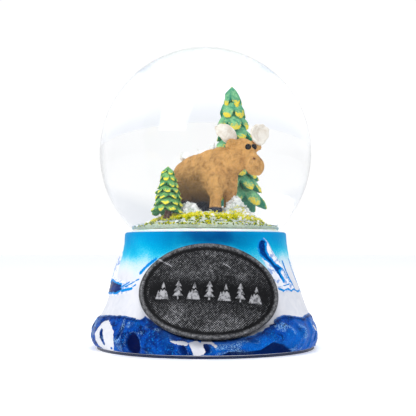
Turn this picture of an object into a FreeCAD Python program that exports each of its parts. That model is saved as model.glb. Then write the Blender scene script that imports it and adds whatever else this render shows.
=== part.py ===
import FreeCAD, Part
import math
import os

import Sketcher
from FreeCAD import Placement, Rotation, Vector

# A souvenir snow globe: a blown glass ball on a painted resin base. The ball is filled
# with liquid and shut by a rubber stopper, which carries a small winter scene: a moose
# between two fir trees on a snowy, grass-edged island.
# Millimetres, +Z up. The origin is the middle of the felt under the base, and the
# plaque on the base faces -Y.

DRIVING_SIZES = {
    # glass ball and its neck
    "ball_diameter": 65.0,
    "glass_wall": 1.5,
    "neck_outer_radius": 20.5,
    "neck_length": 7.1,
    "air_disc_radius": 7.0,
    # how the ball sits in the base
    "ball_seat_drop": 0.9,
    "glue_width": 2.4,
    "glue_rise": 0.3,
    "rim_land": 1.8,
    "rim_bevel": 0.7,
    # resin base
    "base_height": 35.0,
    "waist_flare": 0.7,
    "waist_drop": 7.3,
    "band_radius": 34.4,
    "foot_inset": 0.9,
    "toe_height": 2.6,
    "shoulder_height": 8.4,
    "shoulder_inset": 1.5,
    "ledge_height": 10.2,
    "ledge_inset": 2.7,
    "base_wall": 9.7,
    "deck_thickness": 4.9,
    "cover_thickness": 1.5,
    "cover_lip": 2.5,
    "felt_thickness": 0.8,
    "felt_inset": 0.5,
    # plaque on the front
    "plaque_width": 39.0,
    "plaque_top_margin": 3.4,
    "plaque_foot_margin": 5.5,
    "plaque_thickness": 1.6,
    "plaque_setback": 3.1,
    "plaque_bend_radius": 42.0,
    "plaque_lean": 15.0,
    "plaque_roll": 3.0,
    "plaque_frame_width": 1.3,
    "plaque_frame_rise": 0.5,
    "motif_count": 7.0,
    "motif_pitch": 4.3,
    "motif_height": 5.6,
    "motif_rise": 0.45,
    "tape_thickness": 0.3,
    "boss_margin": 0.7,
    "boss_depth": 11.0,
    # rubber stopper and seal
    "flange_thickness": 2.6,
    "plug_rise": 2.9,
    "plug_bevel": 0.8,
    "seal_width": 1.2,
    "seal_height": 2.2,
    # island and the ground on it
    "scene_glue_thickness": 0.3,
    "neck_pass_gap": 2.0,
    "island_foot_inset": 1.6,
    "island_side_height": 3.7,
    "island_height": 6.3,
    "island_slope_width": 4.0,
    "turf_thickness": 0.7,
    "snow_slope_drop": 2.2,
    "snow_shoulder_drop": 0.4,
    # moose
    "moose_turn": -44.6,
    "moose_place_x": -0.5,
    "moose_place_y": -3.9,
    "torso_length": 16.6,
    "torso_width": 8.6,
    "torso_depth": 12.4,
    "torso_centre_height": 11.1,
    "leg_radius": 1.55,
    "leg_length": 7.5,
    "leg_root": 1.2,
    "leg_stance": 10.0,
    "leg_track": 5.6,
    "head_length": 7.6,
    "head_width": 5.0,
    "head_rise": 17.2,
    "head_reach": 10.2,
    "muzzle_radius": 2.2,
    "muzzle_drop": 3.4,
    "muzzle_reach": 3.6,
    "antler_thickness": 0.8,
    "antler_span": 5.4,
    "antler_height": 3.6,
    "eye_radius": 0.55,
    # trees
    "tall_tree_edge_inset": 6.0,
    "tall_tree_bearing": 44.6,
    "tall_tree_height": 30.6,
    "tall_tree_radius": 6.8,
    "tall_tree_skirt": 2.8,
    "tall_tree_lean": 1.7,
    "tall_tree_tiers": 7.0,
    "tall_trunk_radius": 1.6,
    "small_tree_edge_inset": 3.1,
    "small_tree_bearing": 224.4,
    "small_tree_height": 11.9,
    "small_tree_radius": 4.1,
    "small_tree_skirt": 1.6,
    "small_tree_lean": -0.6,
    "small_tree_tiers": 4.0,
    "small_trunk_radius": 0.9,
    "trunk_socket_depth": 1.5,
    # loose pieces
    "flake_count": 36.0,
    "flake_size": 1.3,
    "flake_thickness": 0.3,
    "glitter_count": 24.0,
    "glitter_size": 0.5,
    "glitter_thickness": 0.12,
    # clearance wherever one piece fits in or lies against another
    "contact_gap": 0.05,
}

doc = FreeCAD.newDocument("snow_globe")
sizes = doc.addObject("Spreadsheet::Sheet", "sizes")
for row, (name, value) in enumerate(DRIVING_SIZES.items(), start=1):
    sizes.set(f"A{row}", name)
    sizes.set(f"B{row}", str(value))
    sizes.setAlias(f"B{row}", name)
doc.recompute()

# Sizes that follow from the driving ones, as expressions that pieces are bound to.
GAP = "sizes.contact_gap"
BALL_RADIUS = "(sizes.ball_diameter / 2)"
INNER_RADIUS = "(sizes.ball_diameter / 2 - sizes.glass_wall)"
NECK_JOIN = "(sizes.base_height - sizes.ball_seat_drop)"
BALL_CENTRE = f"({NECK_JOIN} + sqrt({BALL_RADIUS} ^ 2 - sizes.neck_outer_radius ^ 2))"
NECK_BOTTOM = f"({NECK_JOIN} - sizes.neck_length)"
NECK_BORE = "(sizes.neck_outer_radius - sizes.glass_wall)"
STOPPER_BOTTOM = f"({NECK_BOTTOM} - sizes.flange_thickness)"
STOPPER_TOP = f"({NECK_JOIN} + sizes.plug_rise)"
RECESS_RADIUS = "(sizes.neck_outer_radius + sizes.glue_width)"
RIM_RADIUS = f"({RECESS_RADIUS} + sizes.rim_land)"
CAVITY_TOP = f"({STOPPER_BOTTOM} - sizes.deck_thickness)"
CAVITY_RADIUS = "(sizes.band_radius - sizes.ledge_inset - sizes.base_wall)"
COVER_TOP = "(sizes.felt_thickness + sizes.cover_thickness)"
ISLAND_BOTTOM = f"({STOPPER_TOP} + sizes.scene_glue_thickness)"
ISLAND_RADIUS = f"({NECK_BORE} - sizes.neck_pass_gap)"
CROWN_RADIUS = f"({ISLAND_RADIUS} - sizes.island_slope_width)"
ISLAND_SIDE_TOP = f"({ISLAND_BOTTOM} + sizes.island_side_height)"
ISLAND_TOP = f"({ISLAND_BOTTOM} + sizes.island_height)"
TURF_TOP = f"({ISLAND_TOP} + sizes.turf_thickness)"
GLASS_SIDE = f"({INNER_RADIUS} - {GAP})"


def number(expression):
    """The value of an expression in the sheet's cells, as a plain number."""
    return float(sizes.evalExpression(expression))


def size(name):
    """A driving size from the sheet."""
    return float(sizes.get(name))


def glass_radius_at(height):
    """Radius of the liquid's side of the glass, at a height inside the ball."""
    rise = number(height) - number(BALL_CENTRE)
    return math.sqrt(number(GLASS_SIDE) ** 2 - rise**2)


def primitive(kind, name, **bound):
    """A Part primitive with its properties bound to expressions."""
    piece = doc.addObject(kind, name)
    for prop, expression in bound.items():
        piece.setExpression(prop, expression)
    return piece


def combine(kind, name, base, tool):
    """Part::Cut, Part::Fuse or Part::Common of two objects."""
    result = doc.addObject(kind, name)
    result.Base = base
    result.Tool = tool
    return result


def fuse_all(name, pieces):
    result = doc.addObject("Part::MultiFuse", name)
    result.Shapes = pieces
    return result


def compound(name, pieces):
    result = doc.addObject("Part::Compound", name)
    result.Links = pieces
    return result


def origin_plane(body, role):
    """One of a body's own origin planes, found by its role."""
    return next(item for item in body.Origin.OriginFeatures if item.Role == role)


def turned(label, corners):
    """A body turned about Z from a closed outline of (radius, height) expressions."""
    body = doc.addObject("PartDesign::Body", label)
    sketch = body.newObject("Sketcher::SketchObject", label + "_outline")
    sketch.AttachmentSupport = [(origin_plane(body, "XZ_Plane"), "")]
    sketch.MapMode = "FlatFace"
    points = [Vector(number(radius), number(height), 0) for radius, height in corners]
    count = len(points)
    for index in range(count):
        sketch.addGeometry(Part.LineSegment(points[index], points[(index + 1) % count]), False)
    for index in range(count):
        joint = Sketcher.Constraint("Coincident", index, 2, (index + 1) % count, 1)
        sketch.addConstraint(joint)
    for index, (radius, height) in enumerate(corners):
        if radius == "0":
            sketch.addConstraint(Sketcher.Constraint("PointOnObject", index, 1, -2))
        else:
            bind_distance(sketch, "DistanceX", index, radius)
        bind_distance(sketch, "DistanceY", index, height)
    turn = body.newObject("PartDesign::Revolution", label + "_turned")
    turn.Profile = sketch
    turn.ReferenceAxis = (sketch, ["V_Axis"])
    turn.Angle = 360.0
    body.Tip = turn
    return body


def bind_distance(sketch, kind, index, expression):
    """Holds the start of a line at a distance from the sketch's origin."""
    distance = Sketcher.Constraint(kind, -1, 1, index, 1, number(expression))
    constraint = sketch.addConstraint(distance)
    sketch.setExpression(f"Constraints[{constraint}]", expression)


# ---- Glass ball: a blown sphere with a short open neck ------------------------------

def glass_ball():
    outside = primitive("Part::Sphere", "ball_outside", Radius=BALL_RADIUS)
    inside = primitive("Part::Sphere", "ball_inside", Radius=INNER_RADIUS)
    neck = primitive("Part::Cylinder", "neck_outside",
                     Radius="sizes.neck_outer_radius",
                     Height=f"{BALL_CENTRE} - {NECK_BOTTOM}")
    bore = primitive("Part::Cylinder", "neck_inside",
                     Radius=NECK_BORE,
                     Height=f"{BALL_CENTRE} - {NECK_BOTTOM} + 2 * sizes.glass_wall")
    for sphere in (outside, inside):
        sphere.setExpression("Placement.Base.z", BALL_CENTRE)
    neck.setExpression("Placement.Base.z", NECK_BOTTOM)
    bore.setExpression("Placement.Base.z", f"{NECK_BOTTOM} - sizes.glass_wall")
    blown = combine("Part::Fuse", "ball_and_neck", outside, neck)
    hollow = combine("Part::Fuse", "ball_hollow", inside, bore)
    return combine("Part::Cut", "glass_globe", blown, hollow)


# ---- Base: a hollow resin casting with a seat for the ball and one for the plaque ---

def plaque_placement(distance):
    """A frame on the plaque's plane, pushed out along its normal by a distance.

    Its X runs along the plaque, its Y up the lean and its Z out of the base.
    """
    lean = math.radians(size("plaque_lean"))
    low = size("plaque_foot_margin")
    high = size("base_height") - size("plaque_top_margin")
    reach = size("band_radius") - size("plaque_setback")
    normal = Vector(0, -math.cos(lean), math.sin(lean))
    centre = Vector(0, -reach, (low + high) / 2)
    turn = Rotation(Vector(1, 0, 0), 90 - size("plaque_lean"))
    roll = Rotation(Vector(0, 0, 1), -size("plaque_roll"))
    return Placement(centre + normal * distance, turn * roll)


PLAQUE_HEIGHT = ("((sizes.base_height - sizes.plaque_top_margin - sizes.plaque_foot_margin)"
                 " / cos(sizes.plaque_lean * 1 deg))")


SEAT_DEPTH = "(sizes.plaque_thickness + sizes.tape_thickness)"


def oval_block(name, margin, back, length):
    """An oval plate parallel to the plaque, with a margin round the plaque's outline."""
    outline = primitive("Part::Ellipse", name + "_outline",
                        MajorRadius=f"sizes.plaque_width / 2 + {margin}",
                        MinorRadius=f"{PLAQUE_HEIGHT} / 2 + {margin}")
    outline.Placement = plaque_placement(back)
    block = doc.addObject("Part::Extrusion", name)
    block.Base = outline
    block.DirMode = "Custom"
    block.Dir = outline.Placement.Rotation.multVec(Vector(0, 0, 1))
    block.Solid = True
    block.setExpression("LengthFwd", length)
    return block


def bend_drum(name, offset):
    """The drum that the plaque is bent round, grown by an offset from its face."""
    drum = primitive("Part::Cylinder", name, Radius=f"sizes.plaque_bend_radius + {offset}",
                     Height="2 * sizes.base_height")
    across = Placement(Vector(0, -size("base_height"), -size("plaque_bend_radius")),
                       Rotation(Vector(1, 0, 0), -90))
    drum.Placement = plaque_placement(0) * across
    return drum


def bent_layer(name, outline, inner, outer):
    """The part of an outline's block between two offsets from the plaque's bent face."""
    shell = combine("Part::Cut", name + "_shell", bend_drum(name + "_over", outer),
                    bend_drum(name + "_under", inner))
    return combine("Part::Common", name, outline, shell)


def base():
    felt_top = "sizes.felt_thickness"
    body = turned("base_turning", [
        ("0", felt_top),
        ("sizes.band_radius - sizes.foot_inset", felt_top),
        ("sizes.band_radius", f"{felt_top} + sizes.toe_height"),
        ("sizes.band_radius", "sizes.shoulder_height - sizes.toe_height"),
        ("sizes.band_radius - sizes.shoulder_inset", "sizes.shoulder_height"),
        ("sizes.band_radius - sizes.ledge_inset", "sizes.ledge_height"),
        (f"{RIM_RADIUS} + sizes.waist_flare", "sizes.base_height - sizes.waist_drop"),
        (RIM_RADIUS, "sizes.base_height - sizes.rim_bevel"),
        (f"{RIM_RADIUS} - sizes.rim_bevel", "sizes.base_height"),
        ("0", "sizes.base_height"),
    ])
    boss_back = -size("boss_depth")
    boss = combine("Part::Common", "plaque_boss",
                   oval_block("boss_oval", "sizes.boss_margin", boss_back, "sizes.boss_depth"),
                   bend_drum("boss_drum", f"(-{SEAT_DEPTH})"))
    clear = combine("Part::Cut", "plaque_seat",
                    oval_block("seat_oval", GAP, boss_back, "sizes.band_radius"),
                    bend_drum("seat_drum", f"(-{SEAT_DEPTH})"))
    bossed = combine("Part::Fuse", "base_with_boss", body, boss)
    seated = combine("Part::Cut", "base_with_seat", bossed, clear)
    recess = primitive("Part::Cylinder", "ball_recess", Radius=RECESS_RADIUS,
                       Height=f"sizes.base_height - {STOPPER_BOTTOM} + sizes.deck_thickness")
    recess.setExpression("Placement.Base.z", STOPPER_BOTTOM)
    cavity = primitive("Part::Cylinder", "underside_cavity", Radius=CAVITY_RADIUS,
                       Height=CAVITY_TOP)
    rebate = primitive("Part::Cylinder", "cover_rebate",
                       Radius=f"{CAVITY_RADIUS} + sizes.cover_lip", Height=COVER_TOP)
    hollows = fuse_all("base_hollows", [recess, cavity, rebate])
    return combine("Part::Cut", "base_casting", seated, hollows)


def cover():
    radius = f"{CAVITY_RADIUS} + sizes.cover_lip - {GAP}"
    plate = primitive("Part::Cylinder", "base_cover", Radius=radius,
                      Height="sizes.cover_thickness")
    plate.setExpression("Placement.Base.z", "sizes.felt_thickness")
    return plate


def felt():
    return primitive("Part::Cylinder", "felt_pad",
                     Radius="sizes.band_radius - sizes.foot_inset - sizes.felt_inset",
                     Height="sizes.felt_thickness")


# ---- Plaque: an oval plate with a raised frame and a row of peaks and firs ----------

def peak_outline(height):
    """A mountain: a wide triangle with a notch of snow."""
    half = 0.36 * height
    return [(-half, 0), (half, 0), (0.12 * height, 0.72 * height), (0, height),
            (-0.16 * height, 0.6 * height)]


def fir_outline(height):
    """A fir: three shrinking tiers over a short trunk."""
    right = [(0.06, 0), (0.06, 0.18), (0.32, 0.18), (0.14, 0.44), (0.26, 0.44),
             (0.1, 0.7), (0.18, 0.7), (0, 1)]
    points = [(x * height, y * height) for x, y in right]
    return points + [(-x, y) for x, y in reversed(points[:-1])]


def motif(index):
    """A deep prism of one figure of the row, to be trimmed to the plaque's bent face."""
    height = size("motif_height")
    outline = fir_outline(height) if index % 2 else peak_outline(height)
    shift = (index - (size("motif_count") - 1) / 2) * size("motif_pitch")
    corners = [Vector(x + shift, y - height / 2, 0) for x, y in outline]
    face = Part.Face(Part.makePolygon(corners + corners[:1]))
    piece = doc.addObject("Part::Feature", f"motif_{index}")
    piece.Shape = face.extrude(Vector(0, 0, 2 * size("boss_depth")))
    piece.Placement = plaque_placement(-size("boss_depth"))
    return piece


def plaque():
    back = -size("boss_depth")
    length = "2 * sizes.boss_depth"
    plate = bent_layer("plaque_plate", oval_block("plate_oval", "0", back, length),
                       "(-sizes.plaque_thickness)", "0")
    border = combine("Part::Cut", "border_oval", oval_block("border_outer", "0", back, length),
                     oval_block("border_inner", "(-sizes.plaque_frame_width)", back, length))
    half = "(-sizes.plaque_thickness / 2)"
    frame = bent_layer("plaque_frame", border, half, "sizes.plaque_frame_rise")
    figures = [motif(index) for index in range(int(size("motif_count")))]
    row = bent_layer("plaque_row", compound("plaque_figures", figures), half,
                     "sizes.motif_rise")
    return fuse_all("plaque", [plate, frame, row])


def plaque_tape():
    oval = oval_block("tape_oval", "(-2 * sizes.plaque_frame_width)", -size("boss_depth"),
                      "2 * sizes.boss_depth")
    return bent_layer("plaque_adhesive", oval, f"(-{SEAT_DEPTH})",
                      "(-sizes.plaque_thickness)")


# ---- Stopper, seal and the glue that hold the ball shut and in its seat -------------

def stopper():
    return turned("rubber_stopper", [
        ("0", STOPPER_BOTTOM),
        ("sizes.neck_outer_radius", STOPPER_BOTTOM),
        ("sizes.neck_outer_radius", f"{NECK_BOTTOM} - {GAP}"),
        (f"{NECK_BORE} - {GAP}", f"{NECK_BOTTOM} - {GAP}"),
        (f"{NECK_BORE} - {GAP}", f"{STOPPER_TOP} - sizes.plug_bevel"),
        (f"{NECK_BORE} - {GAP} - sizes.plug_bevel", STOPPER_TOP),
        ("0", STOPPER_TOP),
    ])


def neck_seal():
    inner = f"sizes.neck_outer_radius + {GAP}"
    return turned("neck_sealant", [
        (inner, f"{NECK_BOTTOM} - sizes.seal_height / 2"),
        (f"{inner} + sizes.seal_width", NECK_BOTTOM),
        (inner, f"{NECK_BOTTOM} + sizes.seal_height / 2"),
    ])


def globe_glue():
    """The ring of clear glue between the neck, the ball and the base's recess."""
    bottom = f"{NECK_BOTTOM} + sizes.seal_height / 2 + sizes.glass_wall"
    ring = turned("glue_ring", [
        (f"sizes.neck_outer_radius + {GAP}", bottom),
        (f"{RECESS_RADIUS} - {GAP}", bottom),
        (f"{RECESS_RADIUS} - {GAP}", "sizes.base_height + sizes.glue_rise"),
        (f"sizes.neck_outer_radius + {GAP}", "sizes.base_height + sizes.glue_rise"),
    ])
    ball = primitive("Part::Sphere", "glue_ball_side", Radius=f"{BALL_RADIUS} + {GAP}")
    ball.setExpression("Placement.Base.z", BALL_CENTRE)
    return combine("Part::Cut", "globe_glue", ring, ball)


# ---- Island and ground --------------------------------------------------------------

def tree_reach(tree):
    """How far a tree stands from the middle of the island."""
    return f"({ISLAND_RADIUS} - sizes.{tree}_tree_edge_inset)"


def stand_at_tree(piece, tree, shift, height):
    """Places an upright piece on a tree's axis, shifted sideways by its lean."""
    bearing = f"sizes.{tree}_tree_bearing * 1 deg"
    piece.setExpression("Placement.Base.x", f"{tree_reach(tree)} * cos({bearing}) - {shift}")
    piece.setExpression("Placement.Base.y", f"{tree_reach(tree)} * sin({bearing})")
    piece.setExpression("Placement.Base.z", height)
    return piece


def trunk_hole(name, tree):
    """A clearance cylinder for a tree's trunk, from its socket's floor up."""
    hole = primitive("Part::Cylinder", name,
                     Radius=f"sizes.{tree}_trunk_radius + {GAP}",
                     Height=f"sizes.{tree}_tree_skirt + sizes.trunk_socket_depth * 2 + {GAP}")
    return stand_at_tree(hole, tree, "0", trunk_bottom(tree))


def tree_ground(tree):
    """Height of the island under a tree: flat on the crown, falling on the slope."""
    reach = number(tree_reach(tree))
    if reach <= number(CROWN_RADIUS):
        return ISLAND_TOP
    fall = f"({ISLAND_TOP} - {ISLAND_SIDE_TOP}) / sizes.island_slope_width"
    return f"({ISLAND_TOP} - {fall} * ({tree_reach(tree)} - {CROWN_RADIUS}))"


def trunk_bottom(tree):
    return f"({tree_ground(tree)} - sizes.trunk_socket_depth)"


def island():
    body = turned("island_turning", [
        ("0", ISLAND_BOTTOM),
        (f"{ISLAND_RADIUS} - sizes.island_foot_inset", ISLAND_BOTTOM),
        (ISLAND_RADIUS, f"({ISLAND_BOTTOM} + {ISLAND_SIDE_TOP}) / 2"),
        (ISLAND_RADIUS, ISLAND_SIDE_TOP),
        (CROWN_RADIUS, ISLAND_TOP),
        ("0", ISLAND_TOP),
    ])
    holes = [trunk_hole(f"{tree}_socket", tree) for tree in ("tall", "small")]
    return combine("Part::Cut", "scene_island", body, fuse_all("island_sockets", holes))


def scene_glue():
    disc = primitive("Part::Cylinder", "scene_adhesive",
                     Radius=f"{ISLAND_RADIUS} - sizes.island_foot_inset - {GAP}",
                     Height="sizes.scene_glue_thickness")
    disc.setExpression("Placement.Base.z", STOPPER_TOP)
    return disc


def turf():
    """Flocked grass: an even layer on the island's slope, open round the small tree."""
    body = turned("turf_turning", [
        (CROWN_RADIUS, ISLAND_TOP),
        (ISLAND_RADIUS, ISLAND_SIDE_TOP),
        (ISLAND_RADIUS, f"{ISLAND_SIDE_TOP} + sizes.turf_thickness"),
        (CROWN_RADIUS, TURF_TOP),
    ])
    return combine("Part::Cut", "grass_flock", body, trunk_hole("turf_hole", "small"))


def settled_snow():
    """Fine flakes lying in the trough between the island, the stopper and the glass."""
    outer = f"{INNER_RADIUS}"
    floor = f"{NECK_JOIN} + sizes.plug_rise / 2"
    crest = f"({ISLAND_SIDE_TOP} - sizes.snow_shoulder_drop)"
    ring = turned("snow_ring", [
        (f"{NECK_BORE} + {GAP}", floor),
        (outer, floor),
        (outer, f"{crest} - sizes.snow_slope_drop"),
        (f"{ISLAND_RADIUS} + {GAP}", crest),
        (f"{ISLAND_RADIUS} + {GAP}", f"{STOPPER_TOP} + {GAP}"),
        (f"{NECK_BORE} + {GAP}", f"{STOPPER_TOP} + {GAP}"),
    ])
    ball = primitive("Part::Sphere", "snow_glass_side", Radius=GLASS_SIDE)
    ball.setExpression("Placement.Base.z", BALL_CENTRE)
    return combine("Part::Common", "settled_snow", ring, ball)


# ---- Trees: stacked cone tiers on a trunk that stands in a socket -------------------

def tree_pieces(tree):
    """The foliage and the trunk of one tree, leaning by a shift that grows upward."""
    ground = tree_ground(tree)
    height = f"sizes.{tree}_tree_height"
    skirt = f"sizes.{tree}_tree_skirt"
    tiers = int(size(f"{tree}_tree_tiers"))
    step = f"({height} - {skirt}) / {tiers}"
    cones = []
    for tier in range(tiers):
        width = f"sizes.{tree}_tree_radius * {(1 - tier / tiers) ** 0.8:.4f}"
        cone = primitive("Part::Cone", f"{tree}_tier_{tier}",
                         Radius1=width, Radius2=f"{width} * 0.45" if tier < tiers - 1 else "0",
                         Height=f"{step} * {1.2 if tier < tiers - 1 else 1.0}")
        shift = f"sizes.{tree}_tree_lean * {tier / tiers:.4f}"
        stand_at_tree(cone, tree, shift, f"{ground} + {skirt} + {step} * {tier}")
        cones.append(cone)
    trunk = primitive("Part::Cylinder", f"{tree}_tree_trunk",
                      Radius=f"sizes.{tree}_trunk_radius",
                      Height=f"{skirt} + sizes.trunk_socket_depth * 2")
    stand_at_tree(trunk, tree, "0", trunk_bottom(tree))
    whole = fuse_all(f"{tree}_tiers", cones)
    socket = trunk_hole(f"{tree}_foliage_socket", tree)
    foliage = combine("Part::Cut", f"{tree}_tree", whole, socket)
    return foliage, trunk


# ---- Moose: a chunky modelled animal with inset eyes and antlers --------------------

def moose_frame():
    """The moose's own frame: X forward, Z up, its feet on the island's crown."""
    place = Vector(size("moose_place_x"), size("moose_place_y"), number(ISLAND_TOP))
    return Placement(place, Rotation(Vector(0, 0, 1), size("moose_turn")))


def on_moose(piece, x, y, z, pitch=0.0):
    """Stands a piece in the moose's frame, nose down by the pitch in degrees."""
    local = Placement(Vector(x, y, z), Rotation(Vector(0, 1, 0), pitch))
    piece.Placement = moose_frame() * local
    return piece


def rounded_block(name, extents, rounding, place, pitch=0.0):
    """A block with every edge rounded, centred on a place in the moose's frame."""
    length, width, depth = extents
    block = primitive("Part::Box", name + "_block", Length=length, Width=width, Height=depth)
    to_corner = Vector(number(length) / 2, number(width) / 2, number(depth) / 2) * -1
    turn = Rotation(Vector(0, 1, 0), pitch)
    block.Placement = moose_frame() * Placement(place, turn) * Placement(to_corner, Rotation())
    radius = number(rounding)
    rounded = doc.addObject("Part::Fillet", name)
    rounded.Base = block
    rounded.Edges = [(edge, radius, radius) for edge in range(1, 13)]
    return rounded


def head_centre():
    return Vector(size("head_reach"), 0, size("head_rise"))


def muzzle_centre():
    return head_centre() + Vector(size("muzzle_reach"), 0, -size("muzzle_drop"))


def eye_places():
    """Both eyes sit on the forehead, one each side of the middle."""
    forward = 0.3 * size("head_length")
    side = 0.3 * size("head_width")
    rise = 0.22 * size("head_width")
    return [head_centre() + Vector(forward, sign * side, rise) for sign in (-1, 1)]


def moose_eyes():
    eyes = []
    for side, place in zip(("right", "left"), eye_places()):
        eye = primitive("Part::Sphere", f"eye_{side}", Radius="sizes.eye_radius")
        eyes.append(on_moose(eye, place.x, place.y, place.z))
    return compound("moose_eyes", eyes)


def antler_outline():
    """A palm with four short points, from its root outward."""
    span = size("antler_span")
    height = size("antler_height")
    shares = [(0, -0.12), (0.3, -0.05), (0.62, -0.1), (1.0, 0.12), (0.78, 0.3), (1.02, 0.62),
              (0.72, 0.62), (0.74, 1.0), (0.48, 0.7), (0.3, 0.86), (0.24, 0.4), (0, 0.14)]
    return [(x * span, y * height) for x, y in shares]


def antler(side, sign):
    """A flat antler standing out sideways from the crown of the head."""
    root = head_centre() + Vector(-0.1 * size("head_length"), 0, 0.22 * size("head_length"))
    inset = 0.22 * size("head_width")
    thick = size("antler_thickness")
    corners = [Vector(-thick / 2, sign * (inset + out), up) for out, up in antler_outline()]
    face = Part.Face(Part.makePolygon(corners + corners[:1]))
    plate = face.extrude(Vector(thick, 0, 0))
    piece = doc.addObject("Part::Feature", f"moose_antler_{side}")
    piece.Shape = plate
    piece.Placement = moose_frame() * Placement(root, Rotation(Vector(1, 0, 0), sign * 14))
    return piece


def moose(insets, ground):
    """Torso, rump, neck, head, muzzle, ears, tail and legs in one.

    It is cut for the insets, and its feet are cut to the ground that they stand on.
    """
    half = size("leg_stance") / 2
    middle = size("torso_centre_height")
    hump_rise = middle + 0.14 * size("torso_depth")
    torso = rounded_block("torso", ("sizes.torso_length", "sizes.torso_width",
                                    "sizes.torso_depth"),
                          "sizes.torso_width * 0.42", Vector(0, 0, middle))
    hump = on_moose(primitive("Part::Sphere", "hump", Radius="sizes.torso_width * 0.54"),
                    0.75 * half, 0, hump_rise)
    head = rounded_block("head", ("sizes.head_length", "sizes.head_width",
                                  "sizes.head_width * 1.1"),
                         "sizes.head_width * 0.44", head_centre(), 35)
    nose_at = muzzle_centre()
    nose = on_moose(primitive("Part::Sphere", "muzzle", Radius="sizes.muzzle_radius"),
                    nose_at.x, 0, nose_at.z)
    neck = primitive("Part::Cone", "neck", Radius1="sizes.torso_width * 0.42",
                     Radius2="sizes.head_width * 0.42", Height="sizes.head_reach * 0.8")
    on_moose(neck, 0.45 * half, 0, hump_rise - 1.0, 64)
    tail = on_moose(primitive("Part::Sphere", "tail", Radius="sizes.leg_radius * 0.6"),
                    -size("torso_length") / 2, 0, middle + 1.5)
    pieces = [torso, hump, head, nose, neck, tail]
    for side, sign in (("right", -1), ("left", 1)):
        ear = primitive("Part::Cone", f"ear_{side}", Radius1="sizes.leg_radius * 0.7",
                        Radius2="sizes.leg_radius * 0.2", Height="sizes.head_width * 0.6")
        root = head_centre() + Vector(-1.2, sign * 0.3 * size("head_width"), 0.6)
        tilt = Rotation(Vector(1, 0, 0), -sign * 80)
        ear.Placement = moose_frame() * Placement(root, tilt)
        pieces.append(ear)
        for end, along in (("front", half), ("hind", -half)):
            leg = primitive("Part::Cone", f"leg_{end}_{side}",
                            Radius1="sizes.leg_radius * 0.85", Radius2="sizes.leg_radius * 1.25",
                            Height="sizes.leg_length + sizes.leg_radius + sizes.leg_root")
            track = sign * size("leg_track") / 2
            pieces.append(on_moose(leg, along, track, -size("leg_root")))
    whole = fuse_all("moose_whole", pieces)
    return combine("Part::Cut", "moose_body", whole,
                   compound("moose_insets", insets + ground))


# ---- Loose flakes and glitter -------------------------------------------------------

GOLDEN_TURN = math.radians(180 * (3 - math.sqrt(5)))


def scattered(count, inner, outer):
    """Places spread evenly over a ring of ground, turning by the golden angle."""
    for index in range(count):
        share = (index + 0.5) / count
        reach = math.sqrt(inner**2 + share * (outer**2 - inner**2))
        turn = index * GOLDEN_TURN
        yield index, Vector(reach * math.cos(turn), reach * math.sin(turn), 0)


def chip(size_across, thickness, corners, place, turn):
    """A flat chip with a few corners, lying at a place."""
    points = []
    for corner in range(corners):
        angle = 2 * math.pi * corner / corners
        points.append(Vector(size_across / 2 * math.cos(angle),
                             size_across / 2 * math.sin(angle), 0))
    solid = Part.Face(Part.makePolygon(points + points[:1])).extrude(Vector(0, 0, thickness))
    solid.Placement = Placement(place, Rotation(Vector(0, 0, 1), turn))
    return solid


def loose_chips(label, count, across, thickness, corners, inner, outer, height, obstacles):
    """Chips lying on the ground wherever nothing else stands."""
    chips = []
    for index, place in scattered(count, inner, outer):
        place.z = height(place)
        solid = chip(across, thickness, corners, place, 37.0 * index)
        if min(solid.distToShape(other)[0] for other in obstacles) > across / 4:
            chips.append(solid)
    piece = doc.addObject("Part::Feature", label)
    piece.Shape = Part.makeCompound(chips)
    return piece


def snow_flakes(obstacles):
    """Larger flakes lying on the island's crown."""
    top = number(ISLAND_TOP) + number(GAP)
    return loose_chips("snow_flakes", int(size("flake_count")), size("flake_size"),
                       size("flake_thickness"), 5, size("flake_size"),
                       number(CROWN_RADIUS) - size("flake_size"),
                       lambda place: top, obstacles)


def glitter(obstacles):
    """Specks that have sunk through the liquid onto the settled snow."""
    crest = number(f"{ISLAND_SIDE_TOP} - sizes.snow_shoulder_drop")
    inner = number(ISLAND_RADIUS) + size("glitter_size")
    outer = glass_radius_at(f"{ISLAND_SIDE_TOP} - sizes.snow_slope_drop") - size("glitter_size")
    fall = size("snow_slope_drop") / (number(INNER_RADIUS) - number(ISLAND_RADIUS))

    def height(place):
        near = place.Length - size("glitter_size") / 2 - number(ISLAND_RADIUS)
        return crest - fall * near + number(GAP)

    return loose_chips("glitter_flecks", int(size("glitter_count")), size("glitter_size"),
                       size("glitter_thickness"), 6, inner, outer, height, obstacles)


# ---- Liquid: all the room inside the glass that nothing else takes ------------------

def liquid(contents):
    ball = Part.makeSphere(number(GLASS_SIDE), Vector(0, 0, number(BALL_CENTRE)))
    inner = number(GLASS_SIDE)
    level = number(BALL_CENTRE) + math.sqrt(inner**2 - size("air_disc_radius") ** 2)
    floor = number(f"{NECK_JOIN} + sizes.plug_rise / 2")
    slab = Part.makeCylinder(inner + 1, level - floor, Vector(0, 0, floor))
    shape = ball.common(slab).cut(contents)
    piece = doc.addObject("Part::Feature", "globe_liquid")
    piece.Shape = max(shape.Solids, key=lambda solid: solid.Volume)
    return piece


doc.recompute()
land = [island(), turf()]
nodes = [glass_ball(), base(), cover(), felt(), plaque(), plaque_tape(), stopper(),
         neck_seal(), globe_glue(), scene_glue(), settled_snow()] + land
figures = []
for tree in ("tall", "small"):
    figures.extend(tree_pieces(tree))
antlers = [antler("right", -1), antler("left", 1)]
eyes = moose_eyes()
figures.extend([moose(antlers + [eyes], land), *antlers, eyes])
nodes.extend(figures)
doc.recompute()

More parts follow.
